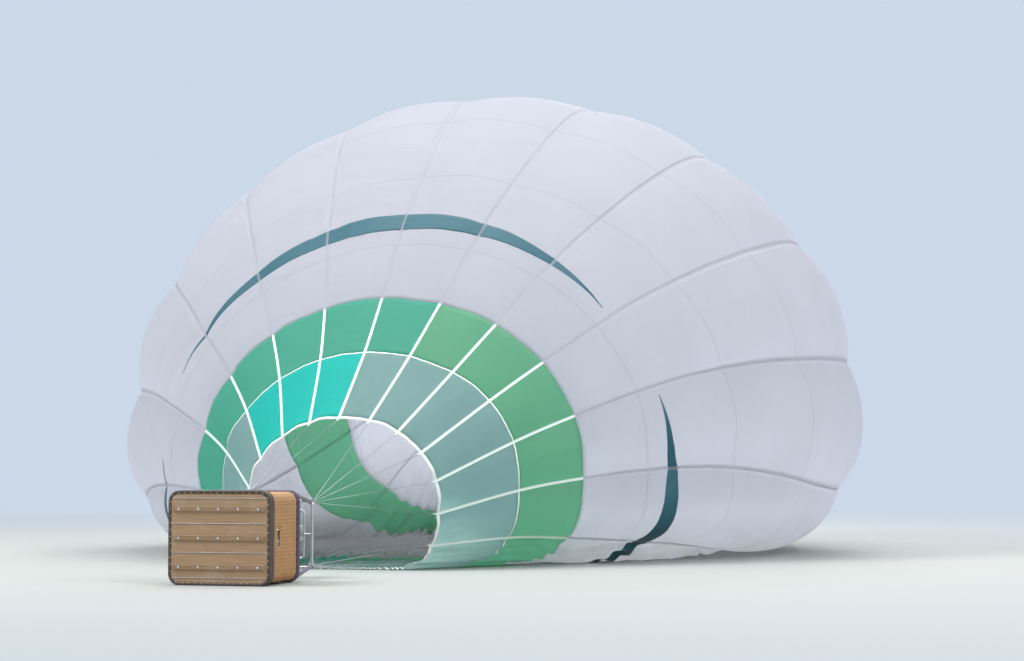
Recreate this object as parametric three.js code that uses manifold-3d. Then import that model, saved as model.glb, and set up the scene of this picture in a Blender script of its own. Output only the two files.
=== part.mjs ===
// Hot air balloon lying on its side on the ground, held open by cold air blown in through its mouth.
// Millimetres, +Z up. +Y runs along the envelope from its mouth to its crown, and the basket lies at -Y.
// The origin is the centre of the mouth. Heights in the tables are measured from the ground.

import * as THREE from 'three';
import { mergeVertices } from 'three/addons/utils/BufferGeometryUtils.js';
import Module from 'manifold-3d';

const wasm = await Module();
wasm.setup();

// Driving dimensions
const MOUTH_CENTRE_HEIGHT = 1100;
const SEAT = 0.3; // gap between two pieces that touch

// Envelope
const GORES = 20;
const SHELL = 10; // thickness of the fabric shell
const BULGE_TOP = 0.04; // how far a gore stands out between its tapes, as a share of its width
const BULGE_SIDE = 0.1;
const BULGE_FROM = 40; // degrees round from the top where gores start to stand out further
const BULGE_TO = 85;
const SEAM_TURN = -0.11; // the first tape lies this share of a gore off the top, clockwise from the mouth
const GATHER_FROM = 95; // degrees round from the top where gores start to lie gathered on the ground
const GATHER_TO = 135;
const TAPE_WIDTH = 50;
const TAPE_SIDE_GAP = 3; // room at each side of a tape, where the seam twists round the belly
const TAPE_PROUD = 7; // how far a tape stands out on the rings near the mouth
const TAPE_PROUD_ON_WHITE = 2;
const TAPE_OVER_CROWN_BANDS = 0.8; // room under the tapes there, where the cloth twists on the ground
const BULGE_FADE = 1500; // length of cloth before the parachute's edge in which the bulge goes
const TAPE_STEP = 30; // length in which a tape goes from lying on a ring to lying between gores
const VENT_HEM_THINNER = 1; // so that the hem and the tapes under it don't share a face
const HEM_WIDTH = 60;
const VENT_HEM = 70;
const PARACHUTE_OVERLAP = 250;
const PARACHUTE_HUB = 220; // cloth between the crown ring's edge and the edge of the hub
const CROWN_RING_OUTER = 186; // to the flats that the tapes end on
const CROWN_RING_INNER = 140;
const CROWN_RING_DEPTH = 30;

// Sections across the envelope, from the mouth to the crown. Columns:
// name, cloth (mm of fabric from the mouth along the top), y (distance behind the mouth), halfWidth,
// top, widest (height of the widest point), bottom, square (2 is an ellipse, more is a squarer underside),
// gathered (width of a gore on the ground as a share of one on top)
const SECTIONS = [
  ['mouth', 0, 0, 1500, 2270, 1050, 0, 3.4, 0.75],
  ['innerEdge', 1650, 1250, 2430, 3340, 1430, 0, 3.5, 0.75],
  ['ringEdge', 2930, 2150, 3230, 4250, 1560, 0, 3.6, 0.72],
  ['cone', 5450, 3900, 4860, 6080, 1850, 0, 3.6, 0.62],
  ['belly', 9200, 7000, 6520, 8180, 2500, 0, 3.6, 0.42],
  ['shoulder', 12400, 10200, 6280, 8150, 2900, 0, 3.5, 0.42],
  ['back', 15300, 13000, 4880, 7300, 3400, 350, 2.9, 0.6],
  ['vent', 17600, 14800, 2200, 5850, 3650, 1450, 2, 1],
  ['crown', 19720, 15350, 190, 3840, 3650, 3460, 2, 1],
];
const CLOTH_AT = Object.fromEntries(SECTIONS.map(([name, cloth]) => [name, cloth]));
const CROWN_BAND = { from: 14200, to: 15500 }; // cloth of the green ring near the crown
const WHITE_SPANS = 8;
const CROWN_GREEN_SPANS = 2;
const CROWN_WHITE_SPANS = 2;
const RING_SPANS = 2;
const VENT_SPANS = 3;
const ACROSS = 3; // flat strips across one gore

// Burner and load frame, in the basket's own upright axes with the underside of its runners at height 0
const FRAME_HEIGHT = 1980;
const FRAME_HALF_X = 560;
const FRAME_HALF_Y = 460;
const FRAME_CORNER = 60;
const FRAME_TUBE = 20;
const LUG = 76;
const LUG_THICK = 14;
const LUG_X = 545;
const LUG_Y = 445;
const GIMBAL_HALF_X = 440;
const GIMBAL_HALF_Y = 330;
const GIMBAL_CORNER = 50;
const GIMBAL_TUBE = 14;
const PIN_RADIUS = 9;
const CAN_RADIUS = 135;
const CAN_HEIGHT = 430;
const CAN_WALL = 6;
const CAN_FLOOR = 10;
const CAN_X = 150; // half the distance between the two cans
const BLOCK = { x: 520, y: 120, z: 70 };
const COIL_RADIUS = 100;
const COIL_TUBE = 9;
const COIL_HEIGHT = 300;

// Basket, in the same axes
const BASKET_HALF_X = 700;
const BASKET_HALF_Y = 600;
const BASKET_HEIGHT = 1100; // to the middle of the padded rim
const BASKET_WALL = 40;
const BASKET_CORNER = 130;
const BASKET_BEHIND_MOUTH = -4700; // y of the underside of its runners
const RUNNER = { length: 1300, width: 70, height: 40 };
const RUNNERS_Y = [-380, 0, 380];
const BOARD = 25;
const RIM_RADIUS = 42;
const RIM_SIDES = 10;
const STEP_HOLE = { width: 260, height: 110, middle: 420 };
const BASE_BAND = { height: 150, thick: 22 };
const UPRIGHT_RADIUS = 30;
const UPRIGHT_FOOT_X = 648;
const UPRIGHT_FOOT_Y = 548;
const UPRIGHT_FOOT_RISE = 43.6; // of its slanted end above the middle of the rim
const UPRIGHT_HEAD_DROP = 19.5; // of its slanted end below the middle of the load frame's tube
const CYLINDER_X = 496;
const CYLINDER_Y = 396;

// Flying wires
const WIRE_RADIUS = 4;
const WIRE_STAND_OFF = 2.7;
const WIRES_PER_CORNER = 5;
const KARABINER_RADIUS = 12;
const KARABINER_LENGTH = 75;

// Sides of the round pieces
const SIDES = {
  cylinder: 14,
  can: 20,
  hub: 2 * GORES,
  frame: 10,
  gimbal: 8,
  pin: 8,
  upright: 10,
  karabiner: 8,
  wire: 6,
};
const CORNER_STEPS = { basket: 4, frame: 3 };

// Materials
const finish = (color, roughness, metalness = 0) => ({ color, roughness, metalness });
const FINISH = {
  whiteFabric: finish(0xd7dce8, 0.6),
  greenFabric: finish(0x58b98c, 0.6),
  greyGreenFabric: finish(0x87b9a5, 0.6),
  turquoiseFabric: finish(0x42e0d0, 0.6),
  tape: finish(0xe6efe6, 0.75),
  parachute: finish(0x37a550, 0.6),
  steel: finish(0xb8bcc0, 0.35, 1),
  aluminium: finish(0xc2c5c8, 0.4, 1),
  wicker: finish(0xa9793f, 0.8),
  hide: finish(0x2e2a44, 0.7),
  wood: finish(0x9c7a4e, 0.65),
  cover: finish(0x2e2a44, 0.8),
  wire: finish(0x9a9da0, 0.4, 1),
};

const envelope = new THREE.Group();
const car = new THREE.Group();

function addMesh(group, name, geometry, look) {
  const mesh = new THREE.Mesh(geometry, new THREE.MeshStandardMaterial(look));
  mesh.name = name;
  group.add(mesh);
  return mesh;
}

// A cubic through one column of the section table, level with its neighbours' slope at each section.
function columnCurve(column) {
  const at = SECTIONS.map((row) => row[1]);
  const value = SECTIONS.map((row) => row[column]);
  const last = at.length - 1;
  const slope = value.map((_, i) => {
    const lo = Math.max(i - 1, 0);
    const hi = Math.min(i + 1, last);
    return (value[hi] - value[lo]) / (at[hi] - at[lo]);
  });
  return (cloth) => {
    let i = 0;
    while (i < last - 1 && cloth > at[i + 1]) i += 1;
    const span = at[i + 1] - at[i];
    const t = (cloth - at[i]) / span;
    const t2 = t * t;
    const t3 = t2 * t;
    return (2 * t3 - 3 * t2 + 1) * value[i] + (t3 - 2 * t2 + t) * span * slope[i]
      + (3 * t2 - 2 * t3) * value[i + 1] + (t3 - t2) * span * slope[i + 1];
  };
}

const curve = {
  y: columnCurve(2),
  halfWidth: columnCurve(3),
  top: columnCurve(4),
  widest: columnCurve(5),
  bottom: columnCurve(6),
  square: columnCurve(7),
  gathered: columnCurve(8),
};

// One cross-section: its points by share of its own length, clockwise from the top as seen from the mouth.
const SECTION_STEPS = 360;
const ELLIPSE = 2; // the squareness of a plain ellipse
const FLATTER_UNDER = 0.03; // how much further a squarer underside reaches before the ground flattens it
const sectionCache = new Map();
function section(cloth) {
  if (sectionCache.has(cloth)) return sectionCache.get(cloth);
  const halfWidth = curve.halfWidth(cloth);
  const widest = curve.widest(cloth);
  const rise = curve.top(cloth) - widest;
  const square = Math.max(ELLIPSE, curve.square(cloth));
  const bottom = Math.max(TAPE_PROUD, curve.bottom(cloth));
  const fall = (widest - bottom) * (1 + FLATTER_UNDER * (square - ELLIPSE));
  const points = [];
  const length = [0];
  for (let i = 0; i <= SECTION_STEPS; i += 1) {
    const angle = (2 * Math.PI * i) / SECTION_STEPS;
    const sin = Math.sin(angle);
    const cos = Math.cos(angle);
    const below = cos < 0;
    const power = below ? 2 / square : 1;
    const x = halfWidth * Math.sign(sin) * Math.abs(sin) ** power;
    const z = below ? Math.max(bottom, widest - fall * Math.abs(cos) ** power) : widest + rise * cos;
    points.push(new THREE.Vector3(x, curve.y(cloth), z));
    if (i > 0) length.push(length[i - 1] + points[i].distanceTo(points[i - 1]));
  }
  const made = { points, length, total: length[SECTION_STEPS] };
  sectionCache.set(cloth, made);
  return made;
}

function pointOn(cloth, share) {
  const { points, length, total } = section(cloth);
  const target = (share - Math.floor(share)) * total;
  let lo = 0;
  let hi = SECTION_STEPS;
  while (hi - lo > 1) {
    const mid = (lo + hi) >> 1;
    if (length[mid] <= target) lo = mid;
    else hi = mid;
  }
  const t = (target - length[lo]) / (length[hi] - length[lo]);
  return points[lo].clone().lerp(points[hi], t);
}

// The outward normal of the envelope, from its slopes along and round.
const NORMAL_STEP = 30;
function normalOn(cloth, share) {
  const from = Math.max(0, cloth - NORMAL_STEP);
  const to = Math.min(CLOTH_AT.crown, cloth + NORMAL_STEP);
  const turn = NORMAL_STEP / section(cloth).total;
  const along = pointOn(to, share).sub(pointOn(from, share));
  const round = pointOn(cloth, share + turn).sub(pointOn(cloth, share - turn));
  return along.cross(round).negate().normalize();
}

function degreesFromTop(gore) {
  const degrees = (((gore + 0.5 + SEAM_TURN) / GORES) * 360) % 360;
  return Math.min(degrees, 360 - degrees);
}

function goreBulge(gore) {
  const t = THREE.MathUtils.smoothstep(degreesFromTop(gore), BULGE_FROM, BULGE_TO);
  return THREE.MathUtils.lerp(BULGE_TOP, BULGE_SIDE, t);
}

// Where seam i lies round the section, as a share of the section's length.
const seamCache = new Map();
function seamShares(cloth) {
  if (seamCache.has(cloth)) return seamCache.get(cloth);
  const gathered = Math.min(1, curve.gathered(cloth));
  const widths = [];
  for (let i = 0; i < GORES; i += 1) {
    const t = THREE.MathUtils.smoothstep(degreesFromTop(i), GATHER_FROM, GATHER_TO);
    widths.push(1 - (1 - gathered) * t);
  }
  const total = widths.reduce((sum, width) => sum + width, 0);
  const shares = [(SEAM_TURN * widths[0]) / total];
  for (const width of widths) shares.push(shares[shares.length - 1] + width / total);
  seamCache.set(cloth, shares);
  return shares;
}

// A point of a gore: across runs from 0 at its first tape to 1 at its next, sunk is the depth below the cloth, and
// full is how much of its bulge it has.
function gorePoint(cloth, gore, across, sunk, edgeGap, full) {
  const shares = seamShares(cloth);
  const inset = edgeGap / section(cloth).total;
  const first = shares[gore] + inset;
  const next = shares[gore + 1] - inset;
  const share = first + (next - first) * across;
  const width = (next - first) * section(cloth).total;
  let normal = normalOn(cloth, share);
  if (across === 0) normal = normalOn(cloth, shares[gore]);
  if (across === 1) normal = normalOn(cloth, shares[gore + 1]);
  const point = pointOn(cloth, share);
  point.addScaledVector(normal, full * goreBulge(gore) * width * 4 * across * (1 - across));
  point.z = Math.max(point.z, TAPE_PROUD);
  return point.addScaledVector(normal, -sunk);
}

// A solid from matching rings of points, closed on itself or capped at both ends by strips. The first half of a
// ring is the outer face and the second half the inner one, and both faces are split along the same diagonals.
function loft(rings, closed = false) {
  const count = rings[0].length;
  const positions = rings.flat().flatMap((point) => [point.x, point.y, point.z]);
  const index = [];
  const at = (ring, point) => (ring % rings.length) * count + (point % count);
  const quad = (a, b, c, d) => index.push(a, b, c, a, c, d);
  const spans = closed ? rings.length : rings.length - 1;
  for (let i = 0; i < spans; i += 1) {
    for (let k = 0; k < count; k += 1) {
      if (k < count / 2) quad(at(i, k), at(i, k + 1), at(i + 1, k + 1), at(i + 1, k));
      else quad(at(i, k + 1), at(i + 1, k + 1), at(i + 1, k), at(i, k));
    }
  }
  if (!closed) {
    const end = rings.length - 1;
    for (let k = 0; k < count / 2 - 1; k += 1) {
      const back = count - 1 - k;
      quad(at(0, k), at(0, back), at(0, back - 1), at(0, k + 1));
      quad(at(end, k), at(end, k + 1), at(end, back - 1), at(end, back));
    }
  }
  const geometry = new THREE.BufferGeometry();
  geometry.setAttribute('position', new THREE.Float32BufferAttribute(positions, 3));
  geometry.setIndex(index);
  return faceOut(geometry);
}

function faceOut(geometry) {
  const position = geometry.getAttribute('position');
  const index = geometry.getIndex().array;
  const a = new THREE.Vector3();
  const b = new THREE.Vector3();
  const c = new THREE.Vector3();
  let volume = 0;
  for (let i = 0; i < index.length; i += 3) {
    a.fromBufferAttribute(position, index[i]);
    b.fromBufferAttribute(position, index[i + 1]);
    c.fromBufferAttribute(position, index[i + 2]);
    volume += a.dot(b.cross(c));
  }
  if (volume < 0) {
    for (let i = 0; i < index.length; i += 3) {
      const swap = index[i];
      index[i] = index[i + 1];
      index[i + 1] = swap;
    }
  }
  geometry.computeVertexNormals();
  return geometry;
}

// Joins and cuts
function toSolid(geometry) {
  const bare = geometry.clone();
  bare.deleteAttribute('normal');
  bare.deleteAttribute('uv');
  const merged = mergeVertices(bare, 1e-3);
  return new wasm.Manifold(new wasm.Mesh({
    numProp: 3,
    vertProperties: new Float32Array(merged.getAttribute('position').array),
    triVerts: new Uint32Array(merged.getIndex().array),
  }));
}

function toGeometry(solid) {
  const mesh = solid.getMesh();
  const geometry = new THREE.BufferGeometry();
  geometry.setAttribute('position', new THREE.BufferAttribute(mesh.vertProperties, 3));
  geometry.setIndex(new THREE.BufferAttribute(mesh.triVerts, 1));
  geometry.computeVertexNormals();
  return geometry;
}

function join(...geometries) {
  const [first, ...rest] = geometries.map(toSolid);
  return toGeometry(rest.reduce((sum, solid) => sum.add(solid), first));
}

function cut(geometry, ...tools) {
  return toGeometry(tools.map(toSolid).reduce((left, tool) => left.subtract(tool), toSolid(geometry)));
}

// Plain forms
function box(sizeX, sizeY, sizeZ, x, y, z) {
  return new THREE.BoxGeometry(sizeX, sizeY, sizeZ).translate(x, y, z);
}

function ringRound(centre, direction, radius, sides) {
  const axis = direction.clone().normalize();
  const aside = Math.abs(axis.z) < 0.9 ? new THREE.Vector3(0, 0, 1) : new THREE.Vector3(1, 0, 0);
  const u = new THREE.Vector3().crossVectors(aside, axis).normalize();
  const v = new THREE.Vector3().crossVectors(axis, u);
  return Array.from({ length: sides }, (_, k) => {
    const angle = (2 * Math.PI * k) / sides;
    return centre.clone().addScaledVector(u, radius * Math.cos(angle)).addScaledVector(v, radius * Math.sin(angle));
  });
}

function rod(from, to, radius, sides) {
  const direction = to.clone().sub(from);
  return loft([ringRound(from, direction, radius, sides), ringRound(to, direction, radius, sides)]);
}

// The corners of a rectangle with round corners, in the plane at height z.
function roundedRectangle(halfX, halfY, corner, z, steps = CORNER_STEPS.basket) {
  const points = [];
  const corners = [[1, 1, 0], [-1, 1, 90], [-1, -1, 180], [1, -1, 270]];
  for (const [sideX, sideY, start] of corners) {
    for (let k = 0; k <= steps; k += 1) {
      const angle = THREE.MathUtils.degToRad(start + (90 * k) / steps);
      points.push(new THREE.Vector3(
        sideX * (halfX - corner) + corner * Math.cos(angle),
        sideY * (halfY - corner) + corner * Math.sin(angle),
        z,
      ));
    }
  }
  return points;
}

// A round tube along a closed flat path.
function loopTube(path, radius, sides) {
  const rings = path.map((point, i) => {
    const before = path[(i + path.length - 1) % path.length];
    const after = path[(i + 1) % path.length];
    return ringRound(point, after.clone().sub(before), radius, sides);
  });
  return loft(rings, true);
}

// A wall with round corners that follows a rounded rectangle.
function loopWall(halfX, halfY, corner, thick, bottom, top) {
  const outer = roundedRectangle(halfX, halfY, corner, 0);
  const inner = roundedRectangle(halfX - thick, halfY - thick, corner - thick, 0);
  const rings = outer.map((point, i) => [
    new THREE.Vector3(point.x, point.y, bottom),
    new THREE.Vector3(point.x, point.y, top),
    new THREE.Vector3(inner[i].x, inner[i].y, top),
    new THREE.Vector3(inner[i].x, inner[i].y, bottom),
  ]);
  return loft(rings, true);
}

// Envelope panels
const numbered = (i) => String(i + 1).padStart(2, '0');
function spread(from, to, spans) {
  return Array.from({ length: spans + 1 }, (_, k) => from + ((to - from) * k) / spans);
}
const PARACHUTE_EDGE = CLOTH_AT.vent - PARACHUTE_OVERLAP;
const WHITE_CLOTH = [
  CLOTH_AT.ringEdge + SEAT,
  ...spread(CLOTH_AT.ringEdge + TAPE_STEP, CROWN_BAND.from - TAPE_STEP, WHITE_SPANS),
  CROWN_BAND.from,
];
const CROWN_GREEN_CLOTH = spread(CROWN_BAND.from + SEAT, CROWN_BAND.to, CROWN_GREEN_SPANS);
const CROWN_WHITE_CLOTH = [...spread(CROWN_BAND.to + SEAT, PARACHUTE_EDGE, CROWN_WHITE_SPANS), CLOTH_AT.vent];
const HUB_CLOTH = CLOTH_AT.crown - PARACHUTE_HUB;
const VENT_CLOTH = spread(CLOTH_AT.vent, HUB_CLOTH, VENT_SPANS);

function fullAt(cloth) {
  return THREE.MathUtils.clamp((PARACHUTE_EDGE - cloth) / BULGE_FADE, 0, 1);
}

function whiteGore(gore) {
  const across = spread(0, 1, ACROSS);
  const edgeGap = TAPE_WIDTH / 2 + SEAT;
  const rings = WHITE_CLOTH.map((cloth) => {
    const layer = (sunk) => across.map((t) => gorePoint(cloth, gore, t, sunk, edgeGap, fullAt(cloth)));
    return [...layer(0), ...layer(SHELL).reverse()];
  });
  return loft(rings);
}

// A band of gores round the envelope: a flat strip under each tape and a bulged panel between. A band that
// doesn't go all round ends on the centre line of a tape.
function band(cloths, firstGore, goreCount, topSunk, bottomSunk, full, strips = ACROSS) {
  const whole = goreCount === GORES;
  const edge = TAPE_WIDTH / 2;
  const columns = [];
  for (let k = 0; k < goreCount; k += 1) {
    const gore = (firstGore + k) % GORES;
    for (const t of spread(0, 1, strips)) {
      columns.push((cloth, sunk) => gorePoint(cloth, gore, t, sunk, edge, full(cloth)));
    }
  }
  if (!whole) {
    const half = 0.5 - SEAT / TAPE_WIDTH;
    const before = (firstGore + GORES - 1) % GORES;
    const after = (firstGore + goreCount) % GORES;
    const [first] = columns;
    const last = columns[columns.length - 1];
    columns.unshift((cloth, sunk) => first(cloth, sunk).lerp(gorePoint(cloth, before, 1, sunk, edge, 0), half));
    columns.push((cloth, sunk) => last(cloth, sunk).lerp(gorePoint(cloth, after, 0, sunk, edge, 0), half));
  }
  const rings = columns.map((at) => [
    ...cloths.map((cloth) => at(cloth, topSunk)),
    ...cloths.map((cloth) => at(cloth, bottomSunk)).reverse(),
  ]);
  return loft(rings, whole);
}

const alwaysFull = () => 1;
const flat = () => 0;

for (let gore = 0; gore < GORES; gore += 1) {
  addMesh(envelope, `white_gore_${numbered(gore)}`, whiteGore(gore), FINISH.whiteFabric);
}

const GREEN_CLOTH = spread(CLOTH_AT.innerEdge + SEAT, CLOTH_AT.ringEdge, RING_SPANS);
const INNER_CLOTH = spread(HEM_WIDTH + SEAT, CLOTH_AT.innerEdge, RING_SPANS);
const TURQUOISE_FIRST = 17;
const TURQUOISE_COUNT = 3;
addMesh(envelope, 'green_ring', band(GREEN_CLOTH, 0, GORES, 0, SHELL, alwaysFull), FINISH.greenFabric);
addMesh(
  envelope,
  'inner_ring',
  band(INNER_CLOTH, TURQUOISE_FIRST + TURQUOISE_COUNT, GORES - TURQUOISE_COUNT, 0, SHELL, alwaysFull),
  FINISH.greyGreenFabric,
);
addMesh(
  envelope,
  'turquoise_panels',
  band(INNER_CLOTH, TURQUOISE_FIRST, TURQUOISE_COUNT, 0, SHELL, alwaysFull),
  FINISH.turquoiseFabric,
);
addMesh(
  envelope,
  'crown_green_ring',
  band(CROWN_GREEN_CLOTH, 0, GORES, 0, SHELL, fullAt),
  FINISH.greenFabric,
);
addMesh(
  envelope,
  'crown_white_ring',
  band(CROWN_WHITE_CLOTH, 0, GORES, 0, SHELL, fullAt),
  FINISH.whiteFabric,
);
addMesh(
  envelope,
  'mouth_hem',
  band([0, HEM_WIDTH], 0, GORES, 0, SHELL, alwaysFull),
  FINISH.tape,
);

// Load tapes: on the rings they lie on the cloth, elsewhere they lie between the gores.
function tape(seam) {
  const onRing = [-TAPE_PROUD, -SEAT];
  const onWhite = [-TAPE_PROUD_ON_WHITE, SHELL];
  const onCrownBands = [-TAPE_PROUD, -TAPE_OVER_CROWN_BANDS];
  const crownStations = [CROWN_BAND.from, ...CROWN_GREEN_CLOTH.slice(1), ...CROWN_WHITE_CLOTH.slice(1)];
  const stations = [
    [0, onRing],
    [HEM_WIDTH, onRing],
    [INNER_CLOTH[1], onRing],
    [CLOTH_AT.innerEdge, onRing],
    [GREEN_CLOTH[1], onRing],
    [CLOTH_AT.ringEdge, onRing],
    ...WHITE_CLOTH.slice(1, -1).map((cloth) => [cloth, onWhite]),
    ...crownStations.map((cloth) => [cloth, onCrownBands]),
    [CLOTH_AT.vent + TAPE_STEP, onWhite],
    ...VENT_CLOTH.slice(1).map((cloth) => [cloth, onWhite]),
    [CLOTH_AT.crown - SEAT, onWhite],
  ];
  const rings = stations.map(([cloth, [top, under]]) => {
    const share = seamShares(cloth)[seam];
    const normal = normalOn(cloth, share);
    const half = (TAPE_WIDTH / 2 - TAPE_SIDE_GAP) / section(cloth).total;
    const left = pointOn(cloth, share - half);
    const right = pointOn(cloth, share + half);
    return [[left, top], [right, top], [right, under], [left, under]].map(
      ([point, sunk]) => point.clone().addScaledVector(normal, -sunk),
    );
  });
  return loft(rings);
}

const ventHemCloth = [CLOTH_AT.vent + SEAT, CLOTH_AT.vent + VENT_HEM];
const ventHem = band(ventHemCloth, 0, GORES, 0, SHELL - VENT_HEM_THINNER, flat, 1);
const tapes = Array.from({ length: GORES }, (_, seam) => tape(seam));
addMesh(envelope, 'load_tapes', join(ventHem, ...tapes), FINISH.tape);

// The crown ring has one flat for each tape.
const crownCentre = new THREE.Vector3(0, curve.y(CLOTH_AT.crown), curve.widest(CLOTH_AT.crown));
const halfFlat = Math.PI / GORES;
const crownCorner = (apothem) => apothem / Math.cos(halfFlat);
const crownProfile = [
  [CROWN_RING_INNER, -CROWN_RING_DEPTH],
  [CROWN_RING_OUTER, -CROWN_RING_DEPTH],
  [CROWN_RING_OUTER, 0],
  [CROWN_RING_INNER, 0],
  [CROWN_RING_INNER, -CROWN_RING_DEPTH],
].map(([apothem, y]) => new THREE.Vector2(crownCorner(apothem), y + CROWN_RING_DEPTH / 2));
const crownRing = new THREE.LatheGeometry(crownProfile, GORES, (2 * SEAM_TURN - 1) * halfFlat);
crownRing.translate(crownCentre.x, crownCentre.y, crownCentre.z);
addMesh(envelope, 'crown_ring', crownRing, FINISH.aluminium);

// Parachute valve: a disc under the tapes and under the edges of the gores, with a hub at its centre.
const parachuteDisc = band([PARACHUTE_EDGE, ...VENT_CLOTH], 0, GORES, SHELL + SEAT, 2 * SHELL + SEAT, flat, 1);
const hubRadius = curve.halfWidth(HUB_CLOTH);
const parachuteHub = new THREE.CylinderGeometry(hubRadius, hubRadius, SHELL, SIDES.hub);
parachuteHub.translate(crownCentre.x, curve.y(HUB_CLOTH) - SHELL - SEAT - SHELL / 2, crownCentre.z);
addMesh(envelope, 'parachute_valve', join(parachuteDisc, parachuteHub), FINISH.parachute);

// Basket
const boardTop = RUNNER.height + BOARD;
const outline = (z) => roundedRectangle(BASKET_HALF_X, BASKET_HALF_Y, BASKET_CORNER, z);
const board = loft([outline(RUNNER.height), outline(boardTop)]);
const runnerSink = 1; // how far a runner goes into the board, so that they join
const runners = RUNNERS_Y.map((y) => {
  const height = RUNNER.height + runnerSink;
  return box(RUNNER.length, RUNNER.width, height, 0, y, height / 2);
});
addMesh(car, 'basket_floor', join(board, ...runners), FINISH.wood);

const rimFlat = RIM_RADIUS * Math.cos(Math.PI / RIM_SIDES); // from its middle to its flat underside
const wallTop = BASKET_HEIGHT - rimFlat - SEAT;
const walls = loopWall(BASKET_HALF_X, BASKET_HALF_Y, BASKET_CORNER, BASKET_WALL, boardTop + SEAT, wallTop);
const stepHoles = box(3 * BASKET_HALF_X, STEP_HOLE.width, STEP_HOLE.height, 0, 0, STEP_HOLE.middle);
addMesh(car, 'basket_walls', cut(walls, stepHoles), FINISH.wicker);

const bandOut = BASE_BAND.thick;
addMesh(
  car,
  'basket_base_band',
  loopWall(
    BASKET_HALF_X + bandOut,
    BASKET_HALF_Y + bandOut,
    BASKET_CORNER + bandOut,
    bandOut - SEAT,
    RUNNER.height,
    RUNNER.height + BASE_BAND.height,
  ),
  FINISH.hide,
);

const rimIn = BASKET_WALL / 2;
const rimPath = roundedRectangle(BASKET_HALF_X - rimIn, BASKET_HALF_Y - rimIn, BASKET_CORNER - rimIn, BASKET_HEIGHT);
addMesh(car, 'basket_rim', loopTube(rimPath, RIM_RADIUS, RIM_SIDES), FINISH.cover);

// Fuel cylinder profile: radius and height above the basket's board.
const CYLINDER_PROFILE = [
  [0, 25],
  [105, 25],
  [105, 0],
  [120, 0],
  [120, 30],
  [150, 75],
  [150, 700],
  [118, 752],
  [60, 770],
  [60, 830],
  [0, 830],
];
const cylinderPoints = CYLINDER_PROFILE.map(([radius, height]) => new THREE.Vector2(radius, height));
const cylinderGeometry = new THREE.LatheGeometry(cylinderPoints, SIDES.cylinder)
  .rotateX(Math.PI / 2)
  .translate(0, 0, boardTop + SEAT);

const CORNERS = [
  ['right_top', 1, -1],
  ['right_bottom', 1, 1],
  ['left_bottom', -1, 1],
  ['left_top', -1, -1],
];
for (const [corner, sideX, sideY] of CORNERS) {
  const cylinder = cylinderGeometry.clone().translate(sideX * CYLINDER_X, sideY * CYLINDER_Y, 0);
  addMesh(car, `fuel_cylinder_${corner}`, cylinder, FINISH.aluminium);
  const foot = new THREE.Vector3(sideX * UPRIGHT_FOOT_X, sideY * UPRIGHT_FOOT_Y, BASKET_HEIGHT + UPRIGHT_FOOT_RISE);
  const head = new THREE.Vector3(sideX * LUG_X, sideY * LUG_Y, FRAME_HEIGHT - UPRIGHT_HEAD_DROP);
  addMesh(car, `upright_${corner}`, rod(foot, head, UPRIGHT_RADIUS, SIDES.upright), FINISH.cover);
}

// Load frame, gimbal and burners
const framePath = roundedRectangle(FRAME_HALF_X, FRAME_HALF_Y, FRAME_CORNER, FRAME_HEIGHT, CORNER_STEPS.frame);
const lugHeight = FRAME_HEIGHT + FRAME_TUBE;
const lugs = CORNERS.map(([, sideX, sideY]) => box(LUG, LUG, LUG_THICK, sideX * LUG_X, sideY * LUG_Y, lugHeight));
addMesh(car, 'load_frame', join(loopTube(framePath, FRAME_TUBE, SIDES.frame), ...lugs), FINISH.steel);

const alongX = (x) => new THREE.Vector3(x, 0, FRAME_HEIGHT);
const alongY = (y) => new THREE.Vector3(0, y, FRAME_HEIGHT);
const gimbalPath = roundedRectangle(GIMBAL_HALF_X, GIMBAL_HALF_Y, GIMBAL_CORNER, FRAME_HEIGHT, CORNER_STEPS.frame);
const pinEndX = FRAME_HALF_X - FRAME_TUBE - SEAT;
const gimbalPins = [-1, 1].map(
  (side) => rod(alongX(side * GIMBAL_HALF_X), alongX(side * pinEndX), PIN_RADIUS, SIDES.pin),
);
addMesh(car, 'gimbal_ring', join(loopTube(gimbalPath, GIMBAL_TUBE, SIDES.gimbal), ...gimbalPins), FINISH.steel);

const pinEndY = GIMBAL_HALF_Y - GIMBAL_TUBE - SEAT;
const trunnion = rod(alongY(-pinEndY), alongY(pinEndY), PIN_RADIUS, SIDES.pin);
const block = join(box(BLOCK.x, BLOCK.y, BLOCK.z, 0, 0, FRAME_HEIGHT), trunnion);
addMesh(car, 'burner_block', block, FINISH.steel);

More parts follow.
